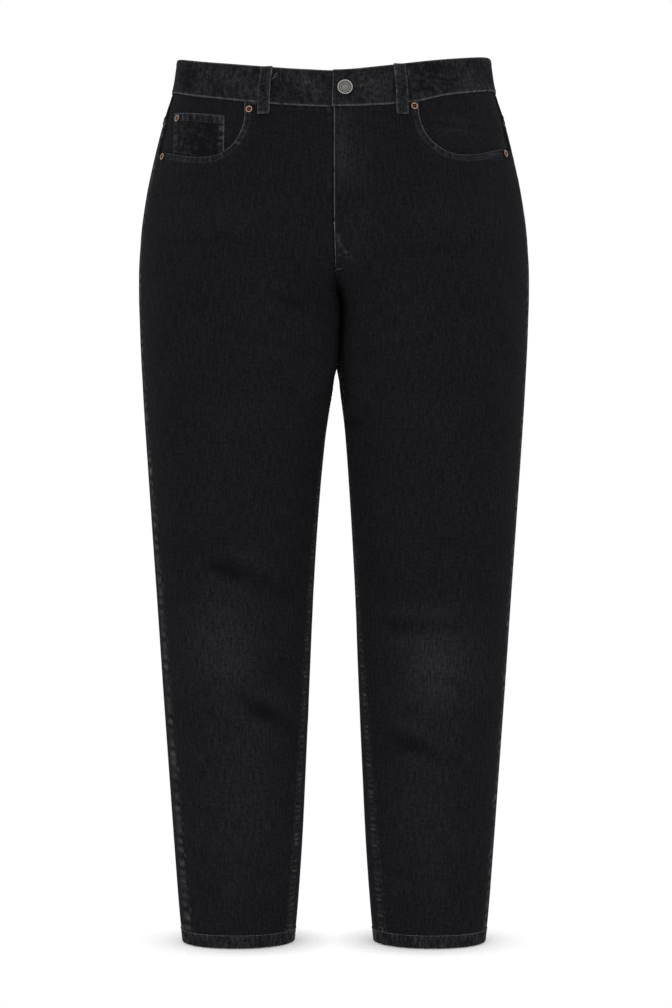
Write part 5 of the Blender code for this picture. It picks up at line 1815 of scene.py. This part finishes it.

# %% [markdown]
# ## What each piece was cut from
#
# A table gives the flat cut of every piece of cloth, and the area of each mesh is printed beside the
# stated one, so that a stretched or shrunken mesh would show. Width and length are in metres, and
# the area in square metres is of the face side.

# %% State the flat cuts
CUTS = {
    "front_right": (0.31, 0.93, 0.188), "front_left": (0.31, 0.93, 0.193),
    "back_right": (0.38, 0.94, 0.307), "back_left": (0.38, 0.94, 0.302),
    "yoke_right": (0.25, 0.09, 0.014), "yoke_left": (0.25, 0.09, 0.014),
    "waistband": (1.02, 0.042, 0.0405), "fly_shield": (0.05, 0.13, 0.0064),
    "pocket_facing_right": (0.12, 0.09, 0.009), "pocket_facing_left": (0.12, 0.09, 0.01),
    "coin_pocket": (0.062, 0.058, 0.0034), "back_pocket_right": (0.14, 0.168, 0.0206),
    "back_pocket_left": (0.14, 0.168, 0.0206), "hem_right": (0.37, 0.017, 0.0062),
    "hem_left": (0.37, 0.017, 0.0062),
}
for name in LOOPS:
    CUTS[name] = (0.0145, 0.058, 0.0008)


def true_area(name):
    """Half the area of a closed wall: the cloth of its face side."""
    mesh = bpy.data.objects[f"{name}_piece"].data
    areas = np.zeros(len(mesh.polygons))
    mesh.polygons.foreach_get("area", areas)
    return areas.sum() / 2


for name, (width, length, area) in CUTS.items():
    print(name, "measured", round(true_area(name), 5), "stated", area)
    hangs = "laid" if "pocket" in name else "hung"
    rests = ["waistband_piece"] if name != "waistband" else ["yoke_left_piece"]

# %% [markdown]
# ## Floor, backdrop and light
#
# The jeans stand before plain white, with only a soft shadow under the hems. The floor is a pale
# disc that fades out into the white world, so no horizon shows behind the legs.

# %% Lay the floor and light the scene
FLOOR_HEIGHT = -0.9648
FLOOR_REACH = 0.4
FLOOR_RINGS, FLOOR_SIDES = 19, 64
LEG_X, LEG_HALF_WIDTH, LEG_HALF_DEPTH = 0.107, 0.063, 0.052


def make_floor():
    """A disc of rings, which fades out with the distance from an ellipse under each leg."""
    radius = np.linspace(0, FLOOR_REACH, FLOOR_RINGS + 1)[1:, None]
    angle = np.linspace(0, 2 * math.pi, FLOOR_SIDES, endpoint=False)
    level_of_floor = np.full((FLOOR_RINGS, FLOOR_SIDES), FLOOR_HEIGHT)
    rings = np.stack([radius * np.cos(angle), radius * np.sin(angle), level_of_floor], axis=-1)
    grid = wrapped(numbered(FLOOR_RINGS, FLOOR_SIDES, 1))
    points = np.concatenate([[[0, 0, FLOOR_HEIGHT]], rings.reshape(-1, 3)])
    mesh = make_mesh("floor", points / MM, quads(grid).tolist() + fan(0, grid[0]))
    finish = Finish("pale_floor")
    place = finish.node("ShaderNodeTexCoord", {}, {}, "Object")
    alpha = 0.0
    for side in SIDES:
        near = finish.vector("SUBTRACT", place, (side * LEG_X, 0, 0))
        share = finish.vector("MULTIPLY", near, (1 / LEG_HALF_WIDTH, 1 / LEG_HALF_DEPTH, 0))
        away = finish.node("ShaderNodeVectorMath", {"operation": "LENGTH"}, {0: share}, "Value")
        alpha = alpha + (1.0 - away.step(0.95, 1.8)) * 0.8
    mesh.materials.append(finish.finished(Base_Color=(0.93, 0.93, 0.93, 1.0), Roughness=1.0,
                                          Specular_IOR_Level=0.0, Alpha=alpha.held()))
    made = bpy.data.objects.new("floor", mesh)
    bpy.context.collection.objects.link(made)
    return made


def softbox(name, place, target, size, power):
    light = bpy.data.lights.new(name, "AREA")
    light.shape = "RECTANGLE"
    light.size, light.size_y = size
    light.energy = power
    made = bpy.data.objects.new(name, light)
    made.location = place
    made.rotation_euler = (Vector(target) - Vector(place)).to_track_quat("-Z", "Y").to_euler()
    bpy.context.collection.objects.link(made)
    return made


make_floor()
softbox("key", (-1.3, -2.2, 0.7), (0, 0, -0.4), (1.6, 2.0), 9.0)
softbox("fill", (1.5, -1.9, 0.1), (0, 0, -0.5), (1.4, 2.0), 5.0)
softbox("top", (0, 0.2, 2.0), (0, 0, -0.3), (1.6, 1.2), 4.0)
world = bpy.data.worlds.new("white_studio")
world.use_nodes = True
world.node_tree.nodes["Background"].inputs["Color"].default_value = (1, 1, 1, 1)
world.node_tree.nodes["Background"].inputs["Strength"].default_value = 1.0
bpy.context.scene.world = world
bpy.context.scene.view_settings.view_transform = "Standard"

# %% Check the size and finish
triangles = sum(len(p.vertices) - 2 for o in bpy.data.objects if o.type == "MESH" and "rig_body" in o
                and not o.hide_render for p in o.data.polygons)
bpy.context.view_layer.update()
print("triangles:", triangles)
